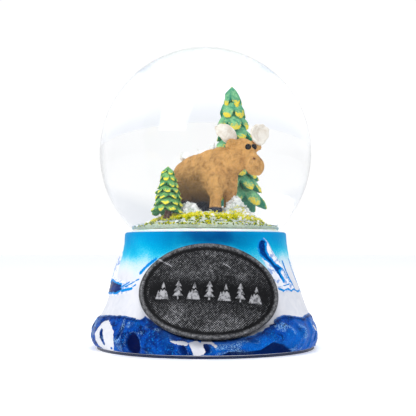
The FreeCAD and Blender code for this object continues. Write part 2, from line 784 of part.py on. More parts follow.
standing = [piece.Shape for piece in figures]
ground = {piece.Name: piece.Shape for piece in nodes}
flakes = snow_flakes(standing + [ground["grass_flock"]])
specks = glitter(standing + [ground["grass_flock"], ground["glass_globe"]])
nodes.extend([flakes, specks])
wet = [ground[name] for name in ("rubber_stopper", "scene_island", "scene_adhesive",
                                 "grass_flock", "settled_snow")]
nodes.append(liquid(wet + standing + flakes.Shape.Solids + specks.Shape.Solids))
doc.recompute()

# Every object must be sound before anything is written.
for item in doc.Objects:
    if "Invalid" in item.State or "Error" in item.State:
        raise RuntimeError(f"{item.Name} failed: {item.State}")
for piece in nodes:
    piece.Label = piece.Name
    if piece.Shape.isNull() or not piece.Shape.isValid() or not piece.Shape.Solids:
        raise RuntimeError(f"{piece.Name} has no sound shape")

os.makedirs("parts", exist_ok=True)
for piece in nodes:
    piece.Shape.exportStep(f"parts/{piece.Label}.step")
    box = piece.Shape.BoundBox
    print(f"{piece.Label:20s} solids {len(piece.Shape.Solids):3d}"
          f"  volume {piece.Shape.Volume:10.1f}"
          f"  z {box.ZMin:6.2f} to {box.ZMax:6.2f}")
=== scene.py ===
# %% [markdown]
# # A souvenir snow globe
# The real thing is a blown glass ball full of liquid, shut with a rubber stopper and
# glued into a hollow resin base that is painted by hand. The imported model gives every
# piece its size and place. This lesson gives each piece its surface: most shapes are
# worked out as whole numpy arrays on a grid, because a grid of rings can follow turned,
# carved and petalled forms alike, and the paint is made from shader nodes.

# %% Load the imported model
import math
import bpy
import numpy as np
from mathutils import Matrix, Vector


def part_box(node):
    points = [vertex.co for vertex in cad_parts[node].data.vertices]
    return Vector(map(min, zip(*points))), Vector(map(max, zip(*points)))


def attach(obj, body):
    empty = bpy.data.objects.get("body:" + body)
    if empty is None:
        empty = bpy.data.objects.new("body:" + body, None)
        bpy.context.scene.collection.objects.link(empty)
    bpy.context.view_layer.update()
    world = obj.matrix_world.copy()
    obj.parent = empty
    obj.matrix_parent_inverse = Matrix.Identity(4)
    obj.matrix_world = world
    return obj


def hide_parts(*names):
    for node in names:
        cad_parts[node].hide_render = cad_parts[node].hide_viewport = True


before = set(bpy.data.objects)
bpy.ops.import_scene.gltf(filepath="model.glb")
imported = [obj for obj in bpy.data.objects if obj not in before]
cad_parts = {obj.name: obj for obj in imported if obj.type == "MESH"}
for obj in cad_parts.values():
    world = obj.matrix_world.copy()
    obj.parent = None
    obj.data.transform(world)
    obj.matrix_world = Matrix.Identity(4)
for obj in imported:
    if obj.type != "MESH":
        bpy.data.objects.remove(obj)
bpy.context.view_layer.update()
MM = 0.001

# %% [markdown]
# ## Heights and radii
# All the shapes below are in millimetres, and turn to metres when they become a mesh.
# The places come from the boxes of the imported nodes, so that every surface meets its
# neighbours where the model says.


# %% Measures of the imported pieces
def low(node):
    """Lowest corner of a node's box, in millimetres."""
    return np.array(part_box(node)[0]) / MM


def high(node):
    """Highest corner of a node's box, in millimetres."""
    return np.array(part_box(node)[1]) / MM


GLASS_WALL = 1.5
NECK_RADIUS = 20.5
BALL_RADIUS = (high("glass_globe")[0] - low("glass_globe")[0]) / 2
BALL_CENTRE = high("glass_globe")[2] - BALL_RADIUS
INNER_RADIUS = BALL_RADIUS - GLASS_WALL
LIQUID_LEVEL = high("globe_liquid")[2]
CROWN = high("scene_island")[2]
MOUND_RADIUS = high("scene_island")[0]
RIM_HEIGHT = high("base_casting")[2]
BASE_FOOT = low("base_casting")[2]
print("ball radius", round(BALL_RADIUS, 2), "centre height", round(BALL_CENTRE, 2))

# %% [markdown]
# ## Grids, lines and randomness
# A surface here is a stack of closed rings. Each ring runs anticlockwise seen from its
# forward end, so the faces point outwards, and a single point closes each end.


# %% Rings of points to faces
def ring_mesh(rings, start=None, end=None):
    """Points and faces of a stack of rings, shape (rows, around, 3).

    Face (i, j) joins ring i at steps j and j+1 to ring i+1 at the same steps. The start
    and end points close the stack with fans of triangles.
    """
    rows, around = rings.shape[:2]
    index = np.arange(rows * around).reshape(rows, around)
    beside = np.roll(index, -1, axis=1)
    quads = np.stack([index[:-1], beside[:-1], beside[1:], index[1:]], axis=-1)
    faces = quads.reshape(-1, 4).tolist()
    points = rings.reshape(-1, 3)
    for tip, first, second in ((start, beside[0], index[0]), (end, index[-1], beside[-1])):
        if tip is not None:
            pole = np.full(around, len(points))
            faces += np.stack([pole, first, second], axis=-1).tolist()
            points = np.vstack([points, tip])
    return points, faces


def joined(parts):
    """Several (points, faces) lists as one."""
    points, faces, offset = [], [], 0
    for part_points, part_faces in parts:
        points.append(part_points)
        faces += [[corner + offset for corner in face] for face in part_faces]
        offset += len(part_points)
    return np.vstack(points), faces


# %% Make a piece
def new_piece(name, points, faces, material, slot, replaces, smooth=True, **measures):
    """A mesh object from points in millimetres, with a float per point for each measure."""
    mesh = bpy.data.meshes.new(name)
    mesh.from_pydata((np.asarray(points) * MM).tolist(), [], faces)
    mesh.polygons.foreach_set("use_smooth", [smooth] * len(mesh.polygons))
    for label, values in measures.items():
        layer = mesh.attributes.new(label, "FLOAT", "POINT")
        layer.data.foreach_set("value", np.asarray(values, np.float32).ravel())
    mesh.materials.append(material)
    mesh.validate()
    piece = bpy.data.objects.new(name, mesh)
    bpy.context.scene.collection.objects.link(piece)
    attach(piece, "root")
    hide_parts(*replaces)
    print(name, "points", len(mesh.vertices), "faces", len(mesh.polygons))
    return piece


def crease(piece, degrees):
    """Edges that turn by more than this stay crisp under smooth shading."""
    piece.data.set_sharp_from_angle(angle=math.radians(degrees))


# %% Smooth lines and steps
def smooth_line(knots, count):
    """Points on a curve through the knots.

    Each span blends the knots at its ends and their neighbours with cubic weights
    (Catmull-Rom), so the line passes through every knot without a corner.
    """
    knots = np.asarray(knots, float)
    padded = np.vstack([2 * knots[0] - knots[1], knots, 2 * knots[-1] - knots[-2]])
    place = np.linspace(0, len(knots) - 1 - 1e-9, count)
    span = place.astype(int)
    t = (place - span)[:, None]
    a, b, c, d = (padded[span + shift] for shift in range(4))
    return b + 0.5 * t * ((c - a) + t * ((2 * a - 5 * b + 4 * c - d)
                                         + t * (3 * (b - c) + d - a)))


def step(start, end, values):
    """0 before start and 1 after end, with t*t*(3-2t) between."""
    t = np.clip((values - start) / (end - start), 0, 1)
    return t * t * (3 - 2 * t)


def swell(values, centre, width):
    """A bell: 1 at the centre, falling as exp(-(distance / width) squared)."""
    return np.exp(-(((values - centre) / width) ** 2))


def round_axis(radius, angles, heights):
    """Places round the upright axis: x = r sin a, y = -r cos a, z = height."""
    x, y = radius * np.sin(angles), -radius * np.cos(angles)
    return np.stack(np.broadcast_arrays(x, y, heights), axis=-1)


# %% Random but repeatable lumps
def lumps(points, size, seed):
    """Smooth values from -1 to 1 over points of shape (..., 3).

    Each corner of a lattice of cubes `size` wide gets a fixed random value, and a point
    blends the eight round it by t*t*(3-2t) along each axis.
    """
    place = np.asarray(points) / size + 500.0
    cell = np.floor(place).astype(np.int64)
    t = place - cell
    t = t * t * (3 - 2 * t)
    total = np.zeros(place.shape[:-1])
    for corner in range(8):
        offset = np.array([corner & 1, (corner >> 1) & 1, corner >> 2])
        key = (cell + offset) @ np.array([73856093, 19349663, 83492791]) + seed * 7919
        key = (key ^ (key >> 13)) * 1274126177 & 0xFFFFFFF
        value = ((key ^ (key >> 9)) & 0xFFFF) / 32767.5 - 1
        total += np.prod(np.where(offset, t, 1 - t), axis=-1) * value
    return total


def turns(count, draw):
    """Random rotation matrices, evenly spread, from unit quaternions."""
    quaternions = draw.normal(size=(count, 4))
    w, x, y, z = (quaternions / np.linalg.norm(quaternions, axis=1, keepdims=True)).T
    rows = [1 - 2 * (y * y + z * z), 2 * (x * y - w * z), 2 * (x * z + w * y),
            2 * (x * y + w * z), 1 - 2 * (x * x + z * z), 2 * (y * z - w * x),
            2 * (x * z - w * y), 2 * (y * z + w * x), 1 - 2 * (x * x + y * y)]
    return np.stack(rows, axis=-1).reshape(count, 3, 3)


def copies(shape, faces, places, sizes, rotations):
    """One small shape repeated: each copy is stretched by its sizes, turned and placed."""
    stretched = shape[None] * sizes[:, None, :]
    points = np.einsum("kij,kvj->kvi", rotations, stretched) + places[:, None, :]
    offsets = np.arange(len(places))[:, None, None] * len(shape)
    return points.reshape(-1, 3), (faces[None] + offsets).reshape(-1, 3).tolist()


# %% [markdown]
# ## Node helpers
# Paint and clay are never one flat colour. Two groups do most of the work: one gives
# grain and specks on the object's own coordinates, the other lays a darker wash over a
# colour in soft patches. Each material places them with its own sizes.


# %% Add and link nodes
def add(tree, kind, inputs=(), **settings):
    """A node with its settings made, and its inputs set to values or linked to sockets."""
    node = tree.nodes.new("ShaderNode" + kind)
    for name, value in settings.items():
        setattr(node, name, value)
    for socket, value in dict(inputs).items():
        if isinstance(value, bpy.types.NodeSocket):
            tree.links.new(value, node.inputs[socket])
        else:
            node.inputs[socket].default_value = value
    return node


def sums(tree, operation, first, second):
    """The output of a Math node."""
    return add(tree, "Math", {0: first, 1: second}, operation=operation).outputs[0]


def blend(tree, factor, first, second):
    """The colour between two colours."""
    return add(tree, "Mix", {0: factor, 6: first, 7: second}, data_type="RGBA").outputs[2]


def between(tree, value, start, end, first=0.0, second=1.0):
    """A value eased from first to second as the input goes from start to end."""
    inputs = {"Value": value, "From Min": start, "From Max": end,
              "To Min": first, "To Max": second}
    return add(tree, "MapRange", inputs, interpolation_type="SMOOTHSTEP").outputs["Result"]


def roughened(tree, value, noise, amount):
    """A value plus an amount of a noise that swings about 0.5."""
    swing = sums(tree, "MULTIPLY", sums(tree, "SUBTRACT", noise, 0.5), amount)
    return sums(tree, "ADD", value, swing)


def measure(tree, label):
    """A float that the mesh carries at its points."""
    return add(tree, "Attribute", attribute_name=label).outputs["Fac"]


def paint(red, green, blue):
    """A paint's red, green and blue out of 255 as the linear colour that nodes take."""
    shares = np.array([red, green, blue]) / 255
    linear = np.where(shares <= 0.04045, shares / 12.92, ((shares + 0.055) / 1.055) ** 2.4)
    return (*linear.tolist(), 1.0)


def ramp(tree, value, stops):
    """The colour at a value, between (position, paint) stops in rising order."""
    node = add(tree, "ValToRGB", {0: value})
    elements = node.color_ramp.elements
    while len(elements) < len(stops):
        elements.new(0.5)
    for element, (position, colour) in zip(elements, stops):
        element.position, element.color = position, colour
    return node.outputs[0]


# %% Groups shared by the finishes
def new_group(name, inputs, outputs):
    """An empty node group with named sockets, and its inner input and output nodes."""
    group = bpy.data.node_groups.new(name, "ShaderNodeTree")
    for direction, sockets in (("INPUT", inputs), ("OUTPUT", outputs)):
        for label, kind in sockets:
            group.interface.new_socket(label, in_out=direction, socket_type="NodeSocket" + kind)
    return group, group.nodes.new("NodeGroupInput"), group.nodes.new("NodeGroupOutput")


def grain_group():
    """Grain: noise at a size in metres. Specks: the peaks of a finer noise."""
    group, given, result = new_group("grain", [("Size", "Float"), ("Specks", "Float")],
                                     [("Grain", "Float"), ("Specks", "Float")])
    place = add(group, "TexCoord").outputs["Object"]
    scale = sums(group, "DIVIDE", 1.0, given.outputs["Size"])
    coarse = add(group, "TexNoise", {"Vector": place, "Scale": scale, "Detail": 3.0})
    fine_scale = sums(group, "MULTIPLY", scale, 2.7)
    fine = add(group, "TexNoise", {"Vector": place, "Scale": fine_scale, "Detail": 1.0})
    limit = sums(group, "SUBTRACT", 0.78, sums(group, "MULTIPLY", given.outputs["Specks"], 0.3))
    above = sums(group, "SUBTRACT", fine.outputs[0], limit)
    group.links.new(coarse.outputs[0], result.inputs["Grain"])
    group.links.new(between(group, above, 0.0, 0.06), result.inputs["Specks"])
    return group


def wash_group():
    """Colour: a wash of a second colour lies over the first in soft patches."""
    group, given, result = new_group(
        "wash", [("Colour", "Color"), ("Wash", "Color"), ("Size", "Float"), ("Amount", "Float")],
        [("Colour", "Color")])
    place = add(group, "TexCoord").outputs["Object"]
    scale = sums(group, "DIVIDE", 1.0, given.outputs["Size"])
    cloud = add(group, "TexNoise", {"Vector": place, "Scale": scale, "Detail": 4.0,
                                    "Roughness": 0.6, "Distortion": 0.6})
    patches = between(group, cloud.outputs[0], 0.35, 0.68)
    share = sums(group, "MULTIPLY", patches, given.outputs["Amount"])
    colour = blend(group, share, given.outputs["Colour"], given.outputs["Wash"])
    group.links.new(colour, result.inputs["Colour"])
    return group


GRAIN = grain_group()
WASH = wash_group()


def grain(tree, size, specks=0.3):
    """The grain group in a material, at a size in millimetres."""
    node = add(tree, "Group", node_tree=GRAIN)
    node.inputs["Size"].default_value = size * MM
    node.inputs["Specks"].default_value = specks
    return node.outputs["Grain"], node.outputs["Specks"]


def washed(tree, colour, wash, size, amount):
    """The wash group in a material, at a size in millimetres."""
    node = add(tree, "Group", node_tree=WASH)
    node.inputs["Size"].default_value = size * MM
    node.inputs["Amount"].default_value = amount
    for label, value in (("Colour", colour), ("Wash", wash)):
        if isinstance(value, bpy.types.NodeSocket):
            tree.links.new(value, node.inputs[label])
        else:
            node.inputs[label].default_value = value
    return node.outputs["Colour"]


def new_finish(name, **values):
    """A material, its node tree and its Principled shader with constant values set."""
    material = bpy.data.materials.new(name)
    material.use_nodes = True
    tree = material.node_tree
    shader = tree.nodes["Principled BSDF"]
    for socket, value in values.items():
        shader.inputs[socket.replace("_", " ")].default_value = value
    return material, tree, shader


def rough_skin(tree, shader, height, depth):
    """A bump of a depth in millimetres on the shader's normal."""
    inputs = {"Height": height, "Distance": depth * MM}
    tree.links.new(add(tree, "Bump", inputs).outputs["Normal"], shader.inputs["Normal"])


def simple_finish(name, colour, wash, size, roughness, depth=0.05, specks=None, **values):
    """A washed colour with grain, for plain pieces: paint, clay, rubber, felt and glue."""
    material, tree, shader = new_finish(name, **values)
    fine, dots = grain(tree, size * 0.25)
    shade = washed(tree, colour, wash, size, 0.8)
    if specks is not None:
        shade = blend(tree, dots, shade, specks)
    tree.links.new(shade, shader.inputs["Base Color"])
    spread = between(tree, fine, 0.2, 0.8, roughness - 0.08, roughness + 0.08)
    tree.links.new(spread, shader.inputs["Roughness"])
    rough_skin(tree, shader, fine, depth)
    return material


# %% [markdown]
# ## Glass and liquid
# The ball is a closed wall: an outer skin and an inner one that meet at the neck's foot.
# The liquid runs a hair into the wall, so that no film of air shows between them, and its
# flat top leaves the small bubble that every sealed globe has. Lamps reach the scene
# through a Transparent shader, because light is slow to find its way through two skins.


# %% Clear finishes
def clear_finish(name, ior, tint, **values):
    """Glass or liquid that bends what is seen, and lets lamps and bounced light through."""
    material, tree, shader = new_finish(name, Roughness=0.0, IOR=ior,
                                        Transmission_Weight=1.0, Base_Color=tint, **values)
    path = add(tree, "LightPath")
    either = sums(tree, "MAXIMUM", path.outputs["Is Shadow Ray"],
                  path.outputs["Is Diffuse Ray"])
    through = add(tree, "BsdfTransparent")
    mix = add(tree, "MixShader", {0: either, 1: shader.outputs[0], 2: through.outputs[0]})
    tree.links.new(mix.outputs[0], tree.nodes["Material Output"].inputs["Surface"])
    return material


GLASS_IOR, LIQUID_IOR = 1.5, 1.333
NO_MIRROR = (0, 0, 0, 1)
GLASS = clear_finish("clear_glass", GLASS_IOR, (0.952, 0.958, 0.965, 1),
                     Specular_Tint=(0.6, 0.6, 0.6, 1))
WET_GLASS = clear_finish("wet_glass", GLASS_IOR, (1, 1, 1, 1), Specular_Tint=NO_MIRROR)
LIQUID = clear_finish("clear_liquid", LIQUID_IOR, (0.995, 0.998, 1, 1),
                      Specular_Tint=NO_MIRROR)


# %% Ball and neck
def full_turn(count):
    """Evenly spaced angles once round."""
    return np.linspace(0, 2 * math.pi, count, endpoint=False)


def turned_rings(profile, angles):
    """A ring round the axis for each (radius, height) pair of a profile."""
    radius, height = np.asarray(profile, float).T
    return round_axis(radius[:, None], angles, height[:, None])


def sphere_arc(radius, edge_radius, count):
    """(radius, height) pairs up a sphere from a ring near its foot to just short of its top."""
    lowest = -math.acos(edge_radius / radius)
    bend = np.linspace(lowest, math.pi / 2, count + 1)[:-1]
    return np.stack([radius * np.cos(bend), BALL_CENTRE + radius * np.sin(bend)], axis=-1)


BALL_TURN = full_turn(180)
BALL_ROWS = 90
CRISP_RIM = 40


def glass_ball():
    """Outer skin up from the neck's foot to the top, and inner skin back down inside it."""
    foot = low("glass_globe")[2]
    bore = NECK_RADIUS - GLASS_WALL
    outside = np.vstack([[NECK_RADIUS, foot], sphere_arc(BALL_RADIUS, NECK_RADIUS, BALL_ROWS)])
    inside = np.vstack([[bore, foot], sphere_arc(INNER_RADIUS, bore, BALL_ROWS)])
    tops = [[0, 0, BALL_CENTRE + radius] for radius in (BALL_RADIUS, INNER_RADIUS)]
    outer = ring_mesh(turned_rings(outside, BALL_TURN), end=tops[0])
    inner_points, inner_faces = ring_mesh(turned_rings(inside, BALL_TURN), end=tops[1])
    inner = (inner_points, [face[::-1] for face in inner_faces])
    points, faces = joined([outer, inner])
    first = np.arange(len(BALL_TURN))
    second = first + len(outer[0])
    lip = np.stack([second, np.roll(second, -1), np.roll(first, -1), first], axis=-1)
    piece = new_piece("glass_ball", points, faces + lip.tolist(), GLASS, "clear_glass",
                      ["glass_globe"])
    piece.data.materials.append(WET_GLASS)
    corner = np.array([face[0] for face in faces] + [0] * len(lip))
    wet = (corner >= len(outer[0])) & (points[corner][:, 2] < LIQUID_LEVEL)
    piece.data.polygons.foreach_set("material_index", wet.astype(np.int32))
    crease(piece, CRISP_RIM)


glass_ball()


# %% Liquid
LIQUID_OVERLAP = 0.12


def liquid_fill():
    """A ball a hair larger than the glass's inner skin, cut flat above and below."""
    radius = INNER_RADIUS + LIQUID_OVERLAP
    floor = low("globe_liquid")[2]
    heights = [floor - BALL_CENTRE, LIQUID_LEVEL - BALL_CENTRE]
    bend = np.linspace(*np.arcsin(np.array(heights) / radius), 120)
    side = np.stack([radius * np.cos(bend), BALL_CENTRE + radius * np.sin(bend)], axis=-1)
    points, faces = ring_mesh(turned_rings(side, BALL_TURN), start=[0, 0, floor],
                              end=[0, 0, LIQUID_LEVEL])
    piece = new_piece("liquid_fill", points, faces, LIQUID, "clear_liquid", ["globe_liquid"])
    crease(piece, CRISP_RIM)


liquid_fill()

# %% [markdown]
# ## Glue collar
# A bead of clear glue fills the gap between the ball and the rim, and creeps up the
# glass. It looks milky where it is thick, so it scatters a little light.


# %% Collar
def glue_collar():
    """A turned bead: up the recess, over in a rounded slope, and down the neck."""
    low_edge, top = low("globe_glue")[2], high("globe_glue")[2]
    wide, narrow = high("globe_glue")[0], NECK_RADIUS + 0.02
    crest = smooth_line([[wide, top - 0.5], [wide - 0.25, top - 0.05], [wide - 0.7, top + 0.35],
                         [wide - 1.0, top + 0.62], [wide - 1.7, top - 0.1]], 14)
    outline = np.vstack([[narrow, low_edge], [wide, low_edge], crest, [narrow, top - 0.9],
                         [narrow, low_edge]])
    rings = turned_rings(outline, full_turn(144))
    ripple = lumps(rings, 3.0, 5) * 0.12 * step(top - 0.4, top + 0.3, rings[..., 2])
    rings[..., 2] += ripple
    return ring_mesh(rings)


CLEAR_GLUE, tree, shader = new_finish("clear_glue", Roughness=0.22, IOR=1.45,
                                      Subsurface_Weight=0.5, Subsurface_Scale=0.002)
fine = grain(tree, 0.8)[0]
tree.links.new(blend(tree, fine, paint(214, 224, 226), paint(244, 246, 240)),
               shader.inputs["Base Color"])
rough_skin(tree, shader, fine, 0.05)
new_piece("glue_collar", *glue_collar(), CLEAR_GLUE, "clear_glue", ["globe_glue"])

# %% [markdown]
# ## The plaque's place
# The plaque leans back, is rolled a little, and is bent round a drum so that it follows
# the base. The base needs the same drum, because it has a raised seat behind the plaque.

# %% Plaque frame
PLAQUE_LEAN, PLAQUE_ROLL = math.radians(15), math.radians(3)
PLAQUE_HALF_WIDTH, PLAQUE_HALF_HEIGHT = 19.5, 13.52
PLAQUE_THICKNESS, TAPE = 1.6, 0.3
DRUM = 42.0
MEAN_RADIUS = 30.0
LEAST_FRONT = 0.3
PLAQUE_CENTRE = np.array([0, -31.3, 18.55])
PLAQUE_OUT = np.array([0, -math.cos(PLAQUE_LEAN), math.sin(PLAQUE_LEAN)])
LEVEL = np.array([1.0, 0, 0])
LEANING = np.cross(PLAQUE_OUT, LEVEL)
PLAQUE_ALONG = LEVEL * math.cos(PLAQUE_ROLL) - LEANING * math.sin(PLAQUE_ROLL)
PLAQUE_UP = LEVEL * math.sin(PLAQUE_ROLL) + LEANING * math.cos(PLAQUE_ROLL)


def on_plaque(along, up, out):
    """Points at distances along, up and out from the plaque's bent front face.

    The face falls back by R - sqrt(R*R - along*along), for a drum of radius R.
    """
    fall = DRUM - np.sqrt(DRUM**2 - along**2)
    return (PLAQUE_CENTRE + along[..., None] * PLAQUE_ALONG + up[..., None] * PLAQUE_UP
            + (out - fall)[..., None] * PLAQUE_OUT)


def seat_radius(angles, heights):
    """Distance from the axis to the drum behind the plaque, and where on the plaque it is.

    Each pass looks how far a guess is from the drum along the plaque's normal, and moves
    the radius by that distance over the slant between the two directions.
    """
    radius = np.full(angles.shape, MEAN_RADIUS)
    front = np.cos(angles) > LEAST_FRONT
    slant = np.cos(PLAQUE_LEAN) * np.maximum(np.cos(angles), LEAST_FRONT)
    for _ in range(8):
        offset = round_axis(radius, angles, heights) - PLAQUE_CENTRE
        along = np.clip(offset @ PLAQUE_ALONG, -35, 35)
        out = offset @ PLAQUE_OUT + DRUM - np.sqrt(DRUM**2 - along**2)
        radius = radius - (out + PLAQUE_THICKNESS + TAPE) / slant
    up = offset @ PLAQUE_UP
    share = np.hypot(along / PLAQUE_HALF_WIDTH, up / PLAQUE_HALF_HEIGHT)
    return np.where(front, radius, 0), np.where(front, share, 9)


# %% [markdown]
# ## The painted base
# The casting flares from a plain rim to a carved foot. Sky blue is sprayed on the rim and
# fades into a white snowfield; the foot is a band of blue rock with hollows, and two
# mountain flanks stand beside the plaque. It is one grid of rings round the axis. The
# relief moves its points in and out, and each colour's edge is stored as a distance in
# millimetres, so that the shader can cut it sharp between two points of the grid.

# %% Lines on the base
SIDE = [[0.8, 33.5], [1.6, 33.9], [3.4, 34.4], [5.8, 34.3], [8.2, 33.1], [10.2, 31.7],
        [13.5, 30.2], [16.6, 29.2], [22, 27.2], [27.7, 25.45], [31.5, 24.85], [34.3, 24.7]]
ROCK_EDGE = [[-180, 10.4], [-160, 11.6], [-140, 9.6], [-118, 10.9], [-100, 9.5], [-80, 10.0],
             [-66, 10.7], [-52, 11.1], [-41, 10.6], [-37, 10.4], [-33, 11.4], [-24, 8.9],
             [-12, 6.2], [6, 5.4], [20, 6.2], [25, 7.4], [29, 8.6], [36, 10.5], [43, 11.4],
             [59, 10.2], [66, 10.6], [74, 11.0], [84, 9.9], [98, 10.9], [112, 9.4],
             [130, 11.7], [150, 9.9], [166, 11.2], [180, 10.4]]


DEGREE = math.radians(1) * MEAN_RADIUS


def wide_line(spots, line, half_width):
    """Half the width less the distance to a line through (degree, height) places.

    spots is (..., 2) in millimetres round and up the base. A positive value is on it.
    """
    line = np.asarray(line, float) * [DEGREE, 1]
    nearest = np.full(spots.shape[:-1], 99.0)
    for start, end in zip(line[:-1], line[1:]):
        run = end - start
        t = np.clip(((spots - start) @ run) / (run @ run), 0, 1)
        nearest = np.minimum(nearest, np.linalg.norm(spots - start - t[..., None] * run, axis=-1))
    return half_width - nearest


def patch(spots, corners):
    """Distance inside a closed outline of (degree, height) corners, negative outside."""
    line = np.asarray(corners + corners[:1], float)
    edge = wide_line(spots, line, 0.0)
    line = line * [DEGREE, 1]
    inside = np.zeros(spots.shape[:-1], bool)
    across, up = spots[..., 0], spots[..., 1]
    for (x0, y0), (x1, y1) in zip(line[:-1], line[1:]):
        if y0 != y1:
            crossing = (y0 > up) != (y1 > up)
            inside ^= crossing & (across < x0 + (up - y0) * (x1 - x0) / (y1 - y0))
    return np.where(inside, -edge, edge)


def hollow(spots, degree, height, half_width, half_height, lean=0.0):
    """A rounded pit: 1 in its middle, easing to 0 at an oval outline that may lean."""
    across = spots[..., 0] - math.radians(degree) * MEAN_RADIUS
    up = spots[..., 1] - height
    turned_across = across * math.cos(lean) + up * math.sin(lean)
    turned_up = up * math.cos(lean) - across * math.sin(lean)
    return 1 - step(0.45, 1.08, np.hypot(turned_across / half_width, turned_up / half_height))


# %% Hollows
# Each hollow is a depth, then its degree, height, half width, half height and lean.
FRONT_HOLLOWS = [
    (2.6, -37.8, 3.6, 2.7, 3.6, 0.1), (1.1, -46.8, 6.2, 0.8, 2.3, -0.5),
    (0.9, -63.0, 4.6, 1.1, 2.9, 0.5), (1.2, -12.4, 2.4, 1.2, 2.2, 0.4),
    (1.5, -2.6, 3.0, 2.0, 2.2, 0.5), (0.8, 20, 5.0, 2.4, 0.8, -0.3),
    (0.8, 66, 4.4, 0.8, 2.2, -0.2),
]
BACK_HOLLOWS = [-158, -141, -121, -104, -88, 86, 103, 121, 139, 157, 174]
LIP = [[3, 0.2], [6, 1.4], [9, 2.2], [17, 2.0], [25, 2.4], [31, 4.4], [37, 3.6], [41, 2.4],
       [45, 1.0], [49, 0.0]]


def base_pits(spots):
    """Hollows cut into the rock, deepest in millimetres: the front ones and a row behind."""
    depth = sum(deepest * hollow(spots, *shape) for deepest, *shape in FRONT_HOLLOWS)
    draw = np.random.default_rng(31)
    for degree in BACK_HOLLOWS:
        place = degree + draw.uniform(-4, 4), draw.uniform(3.0, 6.5)
        shape = draw.uniform(1.2, 2.9), draw.uniform(1.6, 3.2), draw.uniform(-0.6, 0.6)
        depth += draw.uniform(1.0, 2.4) * hollow(spots, *place, *shape)
    return depth


def undercut(spots):
    """How far a spot is below the ragged lip of the rock at the front right."""
    return np.interp(np.degrees(spots[..., 0] / MEAN_RADIUS), *np.transpose(LIP)) - spots[..., 1]


# %% Outlines of the mountains, brush strokes and snow, as (degree, height) places
MOUNTAINS = [
    [(34.2, 30.2), (37.0, 32.2), (41.0, 33.2), (45.3, 31.8), (49.0, 29.2), (54.4, 26.6),
     (58.2, 22.8), (61.0, 20.2), (65.0, 18.0), (58.0, 17.8), (47.0, 17.6), (43.0, 21.0),
     (38.6, 26.0)],
    [(-97.0, 29.0), (-90.0, 29.4), (-84.0, 25.5), (-77.0, 21.5), (-58.0, 20.4),
     (-47.0, 20.8), (-54.0, 17.4), (-66.0, 16.2), (-84.0, 15.8), (-104.0, 16.4),
     (-112.0, 21.0)],
    [(118, 18.0), (131, 26.0), (140, 31.4), (148, 27.5), (158, 22.0), (170, 17.0), (140, 15.6)],
    [(-172, 16.4), (-160, 22.0), (-150, 25.2), (-142, 22.5), (-132, 16.8), (-150, 15.2)],
]
DARK_FLANKS = [
    [(34.0, 30.4), (35.8, 32.2), (39.0, 33.2), (43.2, 32.2), (41.0, 30.9), (40.2, 29.5),
     (42.4, 28.1), (46.8, 25.9), (52.8, 24.4), (49.5, 23.3), (51.7, 21.0), (49.3, 20.1),
     (46.0, 22.8), (40.6, 26.0), (35.6, 28.3)],
    [(-99.0, 16.8), (-93.0, 19.4), (-84.6, 21.2), (-72.0, 20.4), (-61.0, 20.0),
     (-56.5, 18.2), (-64.0, 16.7), (-82.0, 16.3)],
    [(140, 31.4), (148, 27.5), (158, 22.0), (170, 17.0), (156, 17.4), (150, 22.5), (143, 26)],
    [(-150, 25.2), (-142, 22.5), (-132, 16.8), (-141, 17.0), (-146, 21)],
]
STROKES = [
    ([(-96, 27.6), (-88, 23.0), (-90, 19.0)], 0.75), ([(-60, 18.6), (-54, 20.2)], 0.42),
    ([(-58, 17.8), (-50, 18.6)], 0.4), ([(-54.5, 19.0), (-48.6, 20.6)], 0.26),
    ([(-50.5, 18.9), (-47.6, 19.7)], 0.22), ([(-48.4, 20.9), (-46.2, 21.3)], 0.25),
    ([(-46.2, 23.0), (-41, 25.4), (-35.4, 27.0)], 0.55),
    ([(58.8, 26.2), (61, 22.6), (64.8, 18.4)], 0.5),
    ([(43.4, 31.2), (47.6, 28.9), (51.4, 25.8)], 0.16), ([(44.8, 29.4), (49.0, 26.6)], 0.14),
    ([(54.0, 26.0), (57.4, 22.2)], 0.24), ([(52.6, 24.2), (56.8, 20.4)], 0.3),
    ([(49.6, 28.2), (52.4, 26.4)], 0.12), ([(48.8, 19.4), (55.6, 19.8)], 0.2),
    ([(45.6, 18.6), (49, 17.9), (53, 18.5), (58, 17.7), (63, 18.2), (69, 17.3), (76, 17.5)], 0.3),
    ([(74, 26.6), (76, 22.0), (80, 17.2)], 0.7), ([(79, 26.6), (83, 21), (86, 17.4)], 0.3),
    ([(124, 18.6), (128, 19.4), (133, 18.4), (139, 18.9)], 0.3), ([(-163, 20), (-157, 17)], 0.3),
    ([(103, 24), (109, 20), (112, 17.2)], 0.5), ([(-128, 25), (-122, 21), (-118, 17)], 0.5),
]
